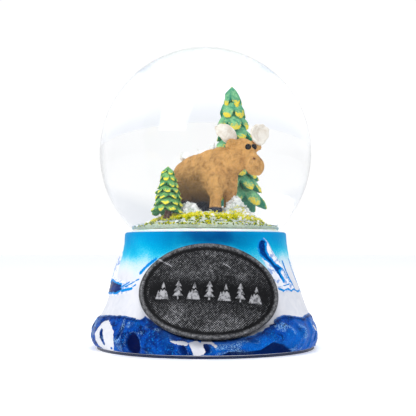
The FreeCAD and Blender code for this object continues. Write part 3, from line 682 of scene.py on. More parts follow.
SNOW_ON_ROCK = [
    [(-66.5, 8.9), (-61.5, 9.3), (-57.6, 8.5), (-52.8, 6.6), (-50.6, 4.6), (-51.8, 2.4),
     (-53.4, 0.9), (-60.5, 0.9), (-70.0, 1.7), (-71.5, 3.2), (-69.5, 5.6)],
    [(-18.7, 4.9), (-12.0, 5.0), (-9.6, 4.4), (-10.4, 3.8), (-14.0, 3.9)],
    [(-9.8, 4.6), (-5.6, 5.2), (-3.2, 4.4), (-2.2, 2.2), (-2.8, 1.2), (-7.4, 1.0), (-8.2, 2.6)],
    [(-4.0, 5.0), (0.8, 4.9), (3.6, 3.7), (2.6, 3.2), (0.4, 4.2), (-3.4, 4.3)],
    [(-40.5, 11.4), (-34.8, 11.6), (-36.2, 10.5), (-39.4, 10.3)],
    [(24.4, 8.4), (29.0, 9.6), (34.5, 10.2), (33.0, 9.2), (28.0, 8.2), (25.0, 7.2)],
    [(66, 7.6), (69, 7.7), (71, 6.2), (68, 5.6)], [(70, 4.6), (73, 4.4), (74, 1.4), (71, 1.6)],
    [(112, 7.6), (120, 8.2), (124, 5.5), (119, 2.5), (113, 3.6)],
    [(-112, 7.4), (-104, 7.9), (-101, 5.0), (-108, 3.4)], [(166, 8), (173, 8.4), (172, 5.5)],
]
PALE_ROCK = [(3, 4.4), (13, 4.6), (15, 3.4), (8, 2.6), (2, 2.4)]
HOLE_IN_SNOW = (-62.2, 4.6, 1.35, 3.2, 0.45)
DOT_DEGREE, DOT_HEIGHT, DOT_RADIUS = -54.6, 1.7, 0.45


# %% Relief and paint edges
def nearest_edge(spots, outlines):
    """The greatest distance inside any of several outlines."""
    return np.max([patch(spots, corners) for corners in outlines], axis=0)


def base_surface(angles, heights):
    """Radius, and the paint measures, over a grid of angles and heights.

    The radius is the plain flare, plus carved lobes and creases below the rock's edge,
    less the pits, plus the mountains, then the seat wherever the plaque covers it.
    """
    radius = np.interp(heights, *np.transpose(SIDE))
    place = np.stack([radius * np.sin(angles), -radius * np.cos(angles), heights], axis=-1)
    spots = np.stack([angles * MEAN_RADIUS, heights], axis=-1)
    degree = np.degrees(angles)
    edge = np.interp(degree, *np.transpose(ROCK_EDGE)) + 0.22 * lumps(place, 1.6, 3)
    rock = edge - heights
    ragged = 0.16 * lumps(place, 0.7, 8) + 0.1 * lumps(place, 0.35, 9)
    flank = nearest_edge(spots, MOUNTAINS)
    dark = nearest_edge(spots, DARK_FLANKS)
    brushed = np.max([wide_line(spots, line, width) for line, width in STROKES], axis=0)
    snow = nearest_edge(spots, SNOW_ON_ROCK) + ragged
    pits = base_pits(spots)
    overhang = undercut(spots)

    carved = step(0.0, 1.2, rock)
    creases = 1 - 2 * np.abs(lumps(place, 3.2, 12))
    relief = carved * (0.55 * lumps(place, 6.5, 14) + 0.34 * creases + 0.16 * lumps(place, 1.3, 15))
    relief += 0.35 * swell(rock, 0.5, 0.5)
    relief += swell(degree, 50, 14) * swell(heights, 6.5, 4)
    relief -= 0.45 * pits + 0.9 * step(-0.1, 0.5, overhang)
    relief += 0.5 * step(-0.1, 1.0, flank) + 0.5 * step(0, 2.2, flank)
    relief -= 0.35 * step(0, 0.8, dark) * step(-0.1, 0.6, flank)
    relief += 0.14 * step(-0.1, 0.2, brushed) * step(-0.3, 0.2, flank)
    relief += 0.1 * lumps(place, 2.2, 17) * step(34, 30, heights)
    relief += 0.03 * lumps(place, 0.6, 18)
    relief *= step(0.8, 2.2, heights) * 0.8 + 0.2

    seat, share = seat_radius(angles, heights)
    radius = radius + relief
    skirt = 1 - step(1.02, 1.09, share)
    radius = np.where((share < 1.09) & (seat > radius), radius + (seat - radius) * skirt, radius)
    radius = np.where(share < 1.01, seat, radius)

    blue = np.maximum(np.maximum(np.minimum(rock + 0.2 * ragged, -snow), dark + ragged),
                      brushed + ragged * 0.6)
    blue = np.maximum(blue, np.minimum(hollow(spots, *HOLE_IN_SNOW) - 0.4, 1))
    dot = np.hypot(spots[..., 0] - DOT_DEGREE * DEGREE, heights - DOT_HEIGHT)
    blue = np.maximum(blue, DOT_RADIUS - dot)
    # Painted shade: darker in the pits, under the overhang, in the valleys of the creases and just
    # under the rock's lip, and darker paint on the mountains' dark flanks.
    painted_shade = np.clip(pits / 1.6, 0, 1) + 0.9 * step(-0.05, 0.35, overhang)
    painted_shade += 0.55 * step(0.1, 0.6, dark) + 0.35 * step(0.45, 0.9, -creases) * carved
    painted_shade += 0.6 * swell(rock, 0.55, 0.28)
    # Painted highlights: lighter on the crests of the creases, along the rock's lip and round the
    # rims of the pits, and on a pale patch of rock.
    light = step(0.5, 0.95, creases) * carved * step(0.1, 0.5, lumps(place, 2.6, 22) + 0.3)
    light += 0.9 * step(-0.1, 0.5, patch(spots, PALE_ROCK))
    light += 0.8 * swell(rock, 0.12, 0.2) + 0.5 * swell(pits, 0.35, 0.22) * carved
    shade = step(1.22, 1.02, share) * step(19, 4, heights)
    return radius, {"blue": blue, "painted_shade": np.clip(painted_shade, 0, 1), "light": np.clip(light, 0, 1),
                    "flank": flank, "edge_shade": shade}


# %% Build the casting
BASE_AROUND, BASE_ROWS = 480, 168
CAVITY_RADIUS, ROOF_THICKNESS = 22.0, 4.9


def casting():
    """Rings from the hollow underneath, out over the foot, up the side and in over the rim."""
    steps = np.linspace(-math.pi, math.pi, BASE_AROUND, endpoint=False)
    angles = steps - 0.3 * np.sin(steps)
    rows = np.linspace(BASE_FOOT + 0.25, RIM_HEIGHT - 0.9, BASE_ROWS)
    grid_angles, grid_heights = np.meshgrid(angles, rows)
    radius, measures = base_surface(grid_angles, grid_heights)
    side = np.stack([radius * np.sin(grid_angles), -radius * np.cos(grid_angles),
                     grid_heights], axis=-1)
    roof, cavity = low("rubber_stopper")[2] - ROOF_THICKNESS, CAVITY_RADIUS
    recess = high("globe_glue")[0]
    under = turned_rings([[cavity, roof], [cavity, roof], [cavity, BASE_FOOT],
                          [cavity, BASE_FOOT], [33.1, BASE_FOOT]], angles)
    rim = turned_rings([[24.66, RIM_HEIGHT - 0.6], [24.5, RIM_HEIGHT - 0.28],
                        [24.2, RIM_HEIGHT - 0.07], [23.8, RIM_HEIGHT],
                        [recess + 0.25, RIM_HEIGHT], [recess + 0.03, RIM_HEIGHT - 0.12],
                        [recess + 0.03, low("rubber_stopper")[2]],
                        [recess + 0.03, low("rubber_stopper")[2]]], angles)
    rings = np.concatenate([under, side, rim])
    points, faces = ring_mesh(rings, start=[0, 0, roof],
                              end=[0, 0, low("rubber_stopper")[2]])
    filled = {}
    for label, values in measures.items():
        beyond = -5.0 if label in ("blue", "flank") else 0.0
        before = np.full(under.shape[:2], beyond)
        after = np.full(rim.shape[:2], beyond)
        column = np.concatenate([before, values, after]).ravel()
        filled[label] = np.append(column, [beyond, beyond])
    return points, faces, filled


# %% Base paint
SKY_PAINTS = [(0.0, paint(220, 226, 233)), (0.16, paint(196, 222, 234)),
              (0.34, paint(136, 210, 229)), (0.52, paint(50, 188, 220)),
              (0.72, paint(0, 166, 210)), (0.9, paint(0, 150, 202)), (1.0, paint(0, 138, 196))]


def base_finish():
    """Sprayed sky over white, with painted shade on the front of the rim; blue rock with painted
    shade in the hollows and painted highlights on the crests.
    """
    material, tree, shader = new_finish("base_paint", Specular_IOR_Level=0.02)
    place = add(tree, "TexCoord").outputs["Object"]
    split = add(tree, "SeparateXYZ", {0: place})
    across, height = split.outputs["X"], split.outputs["Z"]
    fine, spray = grain(tree, 0.45, 0.2)[0], grain(tree, 0.28, 0.6)[0]
    cloud = add(tree, "TexNoise", {"Vector": place, "Scale": 90.0, "Detail": 3.0}).outputs[0]
    level = roughened(tree, roughened(tree, height, spray, 0.006), cloud, 0.008)
    sky = ramp(tree, between(tree, level, 0.0222, 0.0352), SKY_PAINTS)
    aside = between(tree, sums(tree, "ABSOLUTE", across, 0.0), 0.004, 0.017)
    # Painted shade: near the top, the sky is darker in patches where the rim faces front and back,
    # and stays lighter towards the sides.
    painted_front_shade = sums(tree, "MULTIPLY", sums(tree, "SUBTRACT", 1.0, aside),
                  between(tree, cloud, 0.3, 0.6, 0.55, 1.0))
    painted_front_shade = sums(tree, "MULTIPLY", painted_front_shade, between(tree, height, 0.028, 0.0335))
    sky = blend(tree, painted_front_shade, sky, paint(0, 76, 136))
    snow = washed(tree, paint(222, 222, 226), paint(203, 206, 214), 4.0, 0.6)
    ground = blend(tree, between(tree, level, 0.0208, 0.0246), snow, sky)

    rock = washed(tree, paint(0, 64, 160), paint(0, 18, 74), 2.0, 1.0)
    rock = blend(tree, between(tree, cloud, 0.44, 0.6, 0.0, 0.6), rock, paint(0, 100, 196))
    rock = blend(tree, between(tree, fine, 0.55, 0.7, 0.0, 0.65), rock, paint(12, 130, 218))
    # Painted highlights on the rock's crests, lip and pit rims.
    painted_highlight = sums(tree, "MULTIPLY", measure(tree, "light"),
                between(tree, spray, 0.44, 0.62, 0.0, 0.7))
    rock = blend(tree, painted_highlight, rock, paint(150, 200, 240))
    # Painted shade in the hollows, under the overhang and in the creases, with the darker flank
    # paint.
    rock = blend(tree, measure(tree, "painted_shade"), rock, paint(2, 14, 62))
    blue = measure(tree, "blue")
    painted = between(tree, roughened(tree, blue, spray, 0.5), -0.04, 0.06)
    high_up = between(tree, height, 0.0145, 0.017)
    streak = blend(tree, between(tree, blue, 0.35, 0.8), paint(14, 138, 214), rock)
    rock = blend(tree, high_up, rock, streak)
    colour = blend(tree, painted, ground, rock)
    flank = between(tree, measure(tree, "flank"), -0.2, 0.3)
    bare = sums(tree, "MULTIPLY", flank, sums(tree, "SUBTRACT", 1.0, painted))
    hatch = add(tree, "TexNoise", {"Vector": place, "Scale": 700.0, "Detail": 2.0}).outputs[0]
    ridged = blend(tree, between(tree, hatch, 0.5, 0.62, 0.0, 0.75), paint(232, 234, 240),
                   paint(96, 140, 205))
    colour = blend(tree, bare, colour, ridged)
    colour = blend(tree, sums(tree, "MULTIPLY", measure(tree, "edge_shade"), 0.6), colour,
                   paint(26, 34, 66))
    tree.links.new(colour, shader.inputs["Base Color"])
    tree.links.new(between(tree, painted, 0.0, 1.0, 0.42, 0.24), shader.inputs["Roughness"])
    relief = sums(tree, "ADD", fine, sums(tree, "MULTIPLY", painted, hatch))
    rough_skin(tree, shader, relief, 0.09)
    return material


base_points, base_faces, base_measures = casting()
base = new_piece("painted_base", base_points, base_faces, base_finish(), "base_paint",
                 ["base_casting"], **base_measures)
crease(base, 62)

# %% [markdown]
# ## The plaque
# A cast plate finished as old pewter: a woven ground, a rolled edge and a row of raised
# figures, here plain peaks and firs. A square grid is pressed into an oval, which has no
# pole, so the weave keeps its size all over. A dark wash stays in the low places and the
# high ones are rubbed bright, so the shader reads each point's height.


# %% Raised figures
def triangle(across, up, foot, half_width, height):
    """Distance inside an upright triangle, negative outside it."""
    slope = height / half_width
    sides = (height - (up - foot) - np.abs(across) * slope) / math.hypot(1, slope)
    return np.minimum(sides, up - foot)


def peak(across, up, tall):
    """A mountain: a wide triangle with a lower shoulder, and a groove under its snow cap."""
    outline = np.maximum(triangle(across - 0.2, up, -tall / 2, 1.9, tall),
                         triangle(across + 1.15, up, -tall / 2, 1.0, tall * 0.6))
    groove = 0.09 - np.abs(up + 0.1 - 0.5 * np.abs(np.sin(across * 3.4)))
    return np.minimum(outline, -groove)


def fir_figure(across, up, tall):
    """A fir: three triangles, each wider than the one above, on a short trunk."""
    tiers = [triangle(across, up, -tall / 2 + 0.9 + 1.4 * k, 1.8 - 0.35 * k, 2.4 - 0.1 * k)
             for k in range(3)]
    trunk = np.minimum(0.4 - np.abs(across), np.minimum(up + tall / 2, 0.2 - up))
    return np.max(tiers + [trunk], axis=0)


def figure_row(along, up, count=7, pitch=4.3, tall=5.6):
    """Distance inside the row: peaks and firs take turns from left to right."""
    rows = [(peak if k % 2 == 0 else fir_figure)(along - (k - (count - 1) / 2) * pitch, up, tall)
            for k in range(count)]
    return np.max(rows, axis=0)


# %% Build the plaque
WEAVE_PITCH, SCRATCH_WIDTH = 0.66, 0.14
SCRATCHES = [(-0.42, (-13.6, 8.2), 3.6), (-0.5, (4.6, 7.4), 1.5)]


def plaque_face(along, up):
    """Height of the front over the plate, and how bright each point is rubbed.

    The ground is a weave, sin(along) * sin(up), the edge a bell of the distance from the
    outline, and the figures stand where their own distance is positive.
    """
    share = np.hypot(along / PLAQUE_HALF_WIDTH, up / PLAQUE_HALF_HEIGHT)
    spread = np.hypot(along, up) / np.maximum(share, 1e-6)
    inset = (1 - share) * spread
    flat = np.stack([along, up, np.zeros_like(along)], axis=-1)
    warp_along = along + 0.07 * lumps(flat, 1.4, 41)
    warp_up = up + 0.07 * lumps(flat, 1.4, 42)
    turn = 2 * math.pi / WEAVE_PITCH
    weave = np.sin(warp_along * turn) * np.sin(warp_up * turn)
    weave = 0.9 * weave + 0.4 * lumps(flat, 0.4, 43)
    roll = swell(inset, 0.62, 0.52)
    raised = step(0.0, 0.3, figure_row(along, up))
    groove = swell(inset, 1.75, 0.42)
    ground = step(1.5, 2.2, inset) * (1 - raised)
    scuff = 0.06 * lumps(flat, 3.0, 44)
    height = 0.42 * roll + 0.42 * raised + 0.085 * ground * weave - 0.1 * groove + scuff
    height += 0.03 * lumps(flat, 0.5, 45) * (roll + raised)
    height -= 0.35 * step(0.3, 0.0, inset)
    hush = swell(up, 0.0, 3.6) * step(17.6, 16.0, np.abs(along)) * (1 - raised)
    bright = 0.34 + 0.8 * weave * ground
    bright = bright * (1 - 0.72 * hush) * (1 - 0.85 * groove)
    wear = 0.22 * step(0.25, 0.7, lumps(flat, 4.2, 46)) * ground
    bright = bright + wear * (1 - hush)
    bright = np.where(raised > 0.5, 1.05 + 0.3 * lumps(flat, 0.6, 47), bright)
    bright = bright * (1 - roll) + roll * (0.74 + 0.3 * lumps(flat, 0.5, 48))
    for lean, (middle_along, middle_up), length in SCRATCHES:
        right, above = along - middle_along, up - middle_up
        run = right * math.cos(lean) + above * math.sin(lean)
        off = above * math.cos(lean) - right * math.sin(lean) + 0.08 * run**2 / length
        bright = bright + swell(off, 0, SCRATCH_WIDTH) * step(length, length - 0.5, np.abs(run))
    return height, bright


def plaque_plate():
    """Front grid pressed to an oval by x*sqrt(1-y*y/2), side wall, and a plain back."""
    columns, rows = 264, 184
    x, y = np.meshgrid(np.linspace(-1, 1, columns), np.linspace(-1, 1, rows))
    along = x * np.sqrt(1 - y * y / 2) * PLAQUE_HALF_WIDTH
    up = y * np.sqrt(1 - x * x / 2) * PLAQUE_HALF_HEIGHT
    height, bright = plaque_face(along, up)
    front = on_plaque(along, up, height)
    index = np.arange(columns * rows).reshape(rows, columns)
    faces = np.stack([index[:-1, :-1], index[:-1, 1:], index[1:, 1:], index[1:, :-1]], -1)
    border = np.concatenate([index[0, :-1], index[:-1, -1], index[-1, :0:-1], index[:0:-1, 0]])
    edge_along, edge_up = along.ravel()[border], up.ravel()[border]
    levels = np.array([[-0.45, 1.004], [-0.9, 1.006], [-1.35, 1.004], [-1.58, 0.998],
                       [-1.6, 0.97], [-1.6, 0.6]])
    rings = [on_plaque(edge_along * size, edge_up * size, np.full(len(border), out))
             for out, size in levels]
    wall_points, wall_faces = ring_mesh(np.array(rings)[::-1],
                                        start=on_plaque(np.zeros(1), np.zeros(1),
                                                        np.full(1, -1.6))[0])
    offset = front.size // 3
    last = offset + np.arange(len(border)) + (len(levels) - 1) * len(border)
    seam = np.stack([last, np.roll(last, -1), np.roll(border, -1), border], axis=-1)
    points = np.vstack([front.reshape(-1, 3), wall_points])
    faces = (faces.reshape(-1, 4).tolist() + seam.tolist()
             + [[corner + offset for corner in face] for face in wall_faces])
    wall_bright = 0.55 + 0.5 * lumps(wall_points, 0.8, 49)
    return points, faces, np.concatenate([bright.ravel(), wall_bright])


# %% Old pewter
def pewter_finish():
    """Dark wash in the low places, rubbed grey metal on the high ones."""
    material, tree, shader = new_finish("old_pewter", Metallic=0.1, Specular_IOR_Level=0.12)
    fine, dots = grain(tree, 0.3, 0.7)
    bright = roughened(tree, measure(tree, "bright"), fine, 0.9)
    dark = washed(tree, paint(10, 11, 13), paint(22, 22, 24), 3.0, 0.8)
    colour = blend(tree, between(tree, bright, 0.2, 0.9), dark, paint(82, 83, 87))
    colour = blend(tree, between(tree, bright, 0.85, 1.2), colour, paint(158, 158, 162))
    colour = blend(tree, sums(tree, "MULTIPLY", dots, between(tree, bright, 0.3, 0.8, 0.0, 0.6)),
                   colour, paint(190, 188, 184))
    tree.links.new(colour, shader.inputs["Base Color"])
    tree.links.new(between(tree, bright, 0.1, 1.2, 0.62, 0.38), shader.inputs["Roughness"])
    rough_skin(tree, shader, fine, 0.07)
    return material


plaque_points, plaque_faces, plaque_bright = plaque_plate()
plaque = new_piece("pewter_plaque", plaque_points, plaque_faces, pewter_finish(), "plaque_metal",
                   ["plaque"], bright=plaque_bright)
crease(plaque, 70)

# %% [markdown]
# ## The ground inside
# The island is a mound of white-painted resin. Loose snow has settled round it, against
# the glass, and coloured flocking is glued along the front of its crown. The heaps are
# bells added to one height function, so that the trees, tufts and flakes can all ask it
# where the ground is.


# %% Height of the ground
# Height, middle (x, y) and spread of each heap.
HEAPS = [(1.9, -4.2, -7.0, 6.0), (3.7, 7.2, -8.0, 4.6), (0.9, 9.6, -5.5, 6.0),
         (0.8, -2.0, 8.0, 22.0)]


def ground_height(x, y):
    """Crown, slope and snow bed by distance from the axis, plus heaps and small lumps."""
    away = np.hypot(x, y)
    slope = np.interp(away, [0, 9, 11.6, 13.4, 15.2, 17.2, 19.5, 21.5, 23.2],
                      [CROWN + 0.3, CROWN + 0.2, CROWN - 0.3, CROWN - 1.5, 41.0, 39.6, 38.6,
                       37.7, 36.9])
    heaps = sum(tall * np.exp(-((x - at_x) ** 2 + (y - at_y) ** 2) / spread)
                for tall, at_x, at_y, spread in HEAPS)
    flat = np.stack([x, y, np.zeros_like(x)], axis=-1)
    rough = 0.3 * lumps(flat, 1.9, 51) + 0.18 * lumps(flat, 0.8, 52)
    return slope + heaps * step(15.5, 12, away) + rough * step(1.0, 4.0, away + 2)


def ground_rings(inner, outer, rows, around):
    """The ground between two distances from the axis, outer ring first."""
    angles = np.linspace(0, 2 * math.pi, around, endpoint=False)
    away = np.linspace(outer, inner, rows)
    x, y = np.outer(away, np.sin(angles)), -np.outer(away, np.cos(angles))
    return np.stack([x, y, ground_height(x, y)], axis=-1), angles


# %% Mound and snow bed
SNOW_MOUND = simple_finish("mound_snow", paint(226, 232, 226), paint(186, 200, 182), 1.2, 0.55,
                           depth=0.2, specks=paint(250, 250, 246), Specular_IOR_Level=0.1)
SNOW_BANK = simple_finish("bank_snow", paint(218, 228, 206), paint(184, 202, 164), 0.7, 0.5,
                          depth=0.3, specks=paint(250, 250, 240), Specular_IOR_Level=0.1)


def snow_mound():
    """The crown from its middle out to the island's side, and a plain block below it."""
    foot = low("scene_island")[2]
    top, angles = ground_rings(0.35, MOUND_RADIUS - 0.05, 60, 200)
    skirt = turned_rings([[MOUND_RADIUS - 1.7, foot], [MOUND_RADIUS - 0.15, foot + 0.6],
                          [MOUND_RADIUS, 39.4], [MOUND_RADIUS, 40.2]], angles)
    centre = [0, 0, float(ground_height(np.zeros(1), np.zeros(1))[0])]
    return ring_mesh(np.concatenate([skirt, top]), start=[0, 0, foot], end=centre)


def snow_bank():
    """A ring of settled snow: flat floor, wall along the glass, lumpy top, inner wall."""
    foot = low("settled_snow")[2]
    heights = np.linspace(foot + 0.15, 36.8, 9)
    wall = np.sqrt(INNER_RADIUS**2 - (heights - BALL_CENTRE) ** 2) - 0.1
    top, angles = ground_rings(MOUND_RADIUS - 0.6, wall[-1] - 0.06, 44, 300)
    floor = turned_rings([[19.0, foot], [19.0, foot], [wall[0] - 0.4, foot]], angles)
    side = turned_rings(np.stack([wall, heights], axis=-1), angles)
    side[..., :2] *= (1 - 0.016 * (1 + lumps(side, 1.0, 55)))[..., None]
    inner = turned_rings([[MOUND_RADIUS - 0.6, 38.4], [19.0, 37.4], [19.0, foot]], angles)
    return ring_mesh(np.concatenate([floor[1:], side, top, inner]))


new_piece("snow_mound", *snow_mound(), SNOW_MOUND, "island_resin", ["scene_island"])
new_piece("snow_bank", *snow_bank(), SNOW_BANK, "snow_bed", ["settled_snow"])


# %% Flocking
def shard(sides, waist):
    """A small double-ended shard: a ring between two tips, two triangles to each side."""
    angles = np.linspace(0, 2 * math.pi, sides, endpoint=False)
    ring = np.stack([waist * np.cos(angles), waist * np.sin(angles), 0 * angles], axis=-1)
    points, faces = ring_mesh(ring[None], start=[0, 0, -1.0], end=[0, 0, 1.0])
    return points, np.array(faces)


def flocking():
    """Crumbs along the crown's edge, thickest in front, with tufts that hang down."""
    draw = np.random.default_rng(61)
    count = 3000
    bearing = draw.normal(0, 0.95, count) * np.where(draw.random(count) < 0.75, 1, 2.6)
    away = 14.0 + draw.normal(0, 0.7, count)
    tufts = draw.choice(np.linspace(-1.15, 1.15, 15), count) + draw.normal(0, 0.018, count)
    hanging = draw.random(count) < 0.3
    bearing = np.where(hanging, tufts, bearing)
    away = np.where(hanging, 14.6 + draw.random(count) ** 1.2 * 3.6, away)
    strays = draw.random(count) < 0.14
    away = np.where(strays, draw.uniform(15, 22.6, count), away)
    x, y = away * np.sin(bearing), -away * np.cos(bearing)
    lift = np.where(hanging | strays, 0.14, draw.random(count) * 0.6)
    places = np.stack([x, y, ground_height(x, y) + lift], axis=-1)
    sizes = draw.uniform(0.16, 0.4, (count, 3)) * np.array([1, 1, 1.25])
    shape, faces = shard(5, 0.8)
    points, faces = copies(shape, faces, places, sizes, turns(count, draw))
    tone = np.clip(np.where(hanging, draw.normal(0.45, 0.26, count),
                            draw.normal(0.84, 0.17, count)), 0, 1)
    tone = np.where(strays, draw.random(count) * 0.9, tone)
    return points, faces, np.repeat(tone, len(shape))


material, tree, shader = new_finish("flocked_grass", Roughness=0.8, Specular_IOR_Level=0.08)
tone = ramp(tree, measure(tree, "tone"), [
    (0.0, paint(58, 44, 12)), (0.2, paint(72, 92, 14)), (0.45, paint(128, 150, 20)),
    (0.7, paint(216, 214, 26)), (0.9, paint(252, 232, 34)), (1.0, paint(238, 238, 110))])
fine = grain(tree, 0.3)[0]
shade = blend(tree, between(tree, fine, 0.3, 0.7, 0.0, 0.15), tone, paint(150, 160, 30))
tree.links.new(shade, shader.inputs["Base Color"])
rough_skin(tree, shader, fine, 0.1)
flock_points, flock_faces, flock_tone = flocking()
new_piece("grass_flocking", flock_points, flock_faces, material, "flocked_grass",
          ["grass_flock"], smooth=False, tone=flock_tone)

# %% [markdown]
# ## Fir trees
# Each tree is one closed surface that goes up in tiers. A tier runs out along its
# underside, turns over a drooping skirt and climbs back to the stem. The skirt is cut
# into petals by a cosine, and each tier's petals sit between those of the tier below.


# %% Tier surface
# Each ring of a tier: how far out it is, how far up, and how much it hangs.
TIER_ROWS = [(0.42, 0.06, 0.35), (0.8, 0.02, 0.9), (0.97, 0.0, 1.0), (1.02, 0.06, 1.0),
             (0.97, 0.2, 0.9), (0.84, 0.42, 0.62), (0.66, 0.66, 0.35), (0.5, 0.86, 0.1)]


def fir(foot, top, skirt, tip, tiers, petals, droop, seed, around=112):
    """Rings up a tree, how near each point is to a petal's tip, and how much painted shade it gets.

    The axis runs from foot to top. Petal edges come from |cos(n a / 2)|: they reach
    furthest and hang lowest where it is 1, and are notched where it is 0.
    """
    foot, top = np.asarray(foot, float), np.asarray(top, float)
    angles = np.linspace(0, 2 * math.pi, around, endpoint=False)
    rise = top - foot
    rings, tips, unders = [], [], []
    draw = np.random.default_rng(seed)
    for tier in range(tiers):
        start, end = (tier / tiers) ** 0.92, ((tier + 1) / tiers) ** 0.92
        reach, above = (max(skirt * math.sqrt(1 - share), tip) for share in (start, end))
        count = max(petals - tier // 2, 5)
        turn = draw.uniform(0, 0.5) + (tier % 2) * math.pi / count
        wobble = 1 + 0.1 * np.sin(angles * 3 + draw.uniform(0, 6)) * draw.uniform(0.4, 1)
        petal = np.abs(np.cos((angles - turn) * count / 2)) ** 0.7
        edge = reach * (0.79 + 0.21 * petal) * wobble
        hang = droop * (end - start) * (petal - 0.35)
        neck = 0.5 * above if tier < tiers - 1 else 0.12
        for out, up, hold in TIER_ROWS:
            bulge = 1 + 0.07 * petal * (0.2 < up < 0.8)
            radius = neck + (edge - neck) * (out - 0.42) / 0.6 * bulge
            height = start + (end - start) * up * 1.08 - hang * hold
            centre = foot[None] + height[:, None] * rise[None]
            rings.append(centre + np.stack([radius * np.sin(angles), -radius * np.cos(angles),
                                            0 * angles], axis=-1))
            tips.append(petal * step(0.72, 1.0, out) * (1.0 if 0 < up < 0.5 else 0.4))
            # Painted shade: undersides, rings by the stem, notches between petals and the top of
            # each tier, under the tier above.
            unders.append(np.full(around, 1.0 if up < 0.03 or out < 0.45 else 0.0)
                          + 0.6 * (1 - petal) * (up < 0.5) + 0.5 * (up > 0.8))
    rings = np.array(rings)
    rings = rings + sum(
        amount * np.stack([lumps(rings, width, seed + k) for k in (1, 2, 3)], axis=-1)
        for amount, width in ((0.42, 1.8), (0.17, 0.8)))
    points, faces = ring_mesh(rings, start=foot, end=top + [0, 0, 0.25])
    tips, unders = np.concatenate(tips), np.clip(np.concatenate(unders), 0, 1)
    return points, faces, np.append(tips, [0, 1]), np.append(unders, [1, 0])


def fir_finish(name, leaf, shadow, edge):
    """Painted needles: leaf green, painted teal shade on the undersides and in the folds, and
    brushed bright edges.
    """
    material, tree, shader = new_finish(name, Roughness=0.5, Specular_IOR_Level=0.08)
    fine, dots = grain(tree, 0.5, 0.4)
    green = washed(tree, paint(*leaf), paint(*shadow), 1.3, 0.85)
    # Painted shade: the teal shadow colour on undersides and in the folds.
    green = blend(tree, measure(tree, "under"), green, paint(*shadow))
    brushed = roughened(tree, measure(tree, "tip"), fine, 1.8)
    colour = blend(tree, between(tree, brushed, 0.5, 0.9), green, paint(*edge))
    colour = blend(tree, sums(tree, "MULTIPLY", dots, 0.3), colour, paint(236, 240, 216))
    tree.links.new(colour, shader.inputs["Base Color"])
    rough_skin(tree, shader, fine, 0.12)
    return material


# %% Two firs
def middle(node):
    """Centre of a node's box in x and y."""
    return (low(node)[:2] + high(node)[:2]) / 2


def plant(name, node, slot, finish, foot_shift, tip_shift, raised, **shape):
    """A fir that stands on its trunk and fills its node's box."""
    trunk = middle(node + "_trunk")
    foot = [*(trunk + foot_shift), low(node)[2] + raised]
    top = [trunk[0] + tip_shift[0], trunk[1] + tip_shift[1], high(node)[2] + 0.1]
    points, faces, tip, under = fir(foot, top, **shape)
    return new_piece(name, points, faces, finish, slot, [node], tip=tip, under=under)


TALL_FIR = fir_finish("tall_fir_paint", (140, 204, 144), (36, 140, 112), (232, 212, 64))
SMALL_FIR = fir_finish("small_fir_paint", (136, 198, 118), (44, 128, 74), (238, 222, 60))
plant("tall_fir", "tall_tree", "fir_paint", TALL_FIR, (-1.0, 0), (-1.9, 0.4), 3.3,
      skirt=6.25, tip=1.9, tiers=9, petals=8, droop=0.85, seed=71)
plant("small_fir", "small_tree", "fir_paint", SMALL_FIR, (0, 0), (0.3, -0.2), -0.9,
      skirt=4.4, tip=1.9, tiers=7, petals=8, droop=0.7, seed=83, around=96)

# %% Trunks
def trunk(node, radius, seed):
    """A tapered stem whose foot spreads into roots by 1 + k*cos(5a), with bark furrows."""
    heights = np.linspace(0, 1, 26)
    angles = np.linspace(0, 2 * math.pi, 60, endpoint=False)
    bottom, tall = low(node)[2], high(node)[2] - low(node)[2]
    flare = np.exp(-heights * 5.5)[:, None]
    spread = radius * (0.8 + flare * (0.9 + 0.5 * np.cos(5 * angles + 0.6))
                       + 0.07 * np.cos(17 * angles + 3 * heights[:, None]))
    x = middle(node)[0] + spread * np.sin(angles)
    y = middle(node)[1] - spread * np.cos(angles)
    z = np.broadcast_to((bottom + heights * tall)[:, None], x.shape)
    rings = np.stack([x, y, z], axis=-1)
    rings = rings + 0.08 * lumps(rings, 0.7, seed)[..., None]
    return ring_mesh(rings, start=[*middle(node), bottom], end=[*middle(node), bottom + tall])


BARK = simple_finish("bark_paint", paint(122, 74, 56), paint(66, 36, 30), 0.9, 0.65, depth=0.15)
for label, node, radius in (("tall_fir_trunk", "tall_tree_trunk", 1.7),
                            ("small_fir_trunk", "small_tree_trunk", 0.8)):
    new_piece(label, *trunk(node, radius, 91), BARK, "bark_paint", [node])

# %% [markdown]
# ## The moose
# The real one is pressed from clay: a heavy body, a broad neck, a round drooping muzzle
# and stout legs, with every join smoothed by hand. Here each lump is a closed tube along
# a curved line. A voxel remesh welds the tubes into one skin, smoothing rubs the joins
# away, and noise along the skin's normals leaves the dents of a thumb.


# %% Tubes
def tube(path, radii, rows=24, around=24, side=None):
    """A closed tube along a smooth path, with (sideways, upright) radii at its knots.

    Each ring lies square to the path: centre + side*a*cos + (path x side)*b*sin.
    """
    line = smooth_line(path, rows)
    sizes = np.maximum(smooth_line(radii, rows), 0.05)
    ahead = np.gradient(line, axis=0)
    ahead /= np.linalg.norm(ahead, axis=1, keepdims=True)
    if side is None:
        across = np.cross([0, 0, 1.0], ahead)
    else:
        across = side - ahead * (ahead @ side)[:, None]
    across /= np.linalg.norm(across, axis=1, keepdims=True)
    over = np.cross(ahead, across)
    turn = np.linspace(0, 2 * math.pi, around, endpoint=False)
    rings = (line[:, None] + across[:, None] * (sizes[:, :1] * np.cos(turn))[..., None]
             + over[:, None] * (sizes[:, 1:] * np.sin(turn))[..., None])
    return ring_mesh(rings, start=line[0], end=line[-1])


MOOSE_MIDDLE = np.array([-0.55, -3.85, 0])
MOOSE_TURN = math.radians(-44.6)


def on_moose(places):
    """Places given as (forward, to its left, up from the crown) in the globe's frame."""
    forward, left, up = np.asarray(places, float).T
    x = forward * math.cos(MOOSE_TURN) - left * math.sin(MOOSE_TURN)
    y = forward * math.sin(MOOSE_TURN) + left * math.cos(MOOSE_TURN)
    return np.stack([x, y, up + CROWN], axis=-1) + MOOSE_MIDDLE


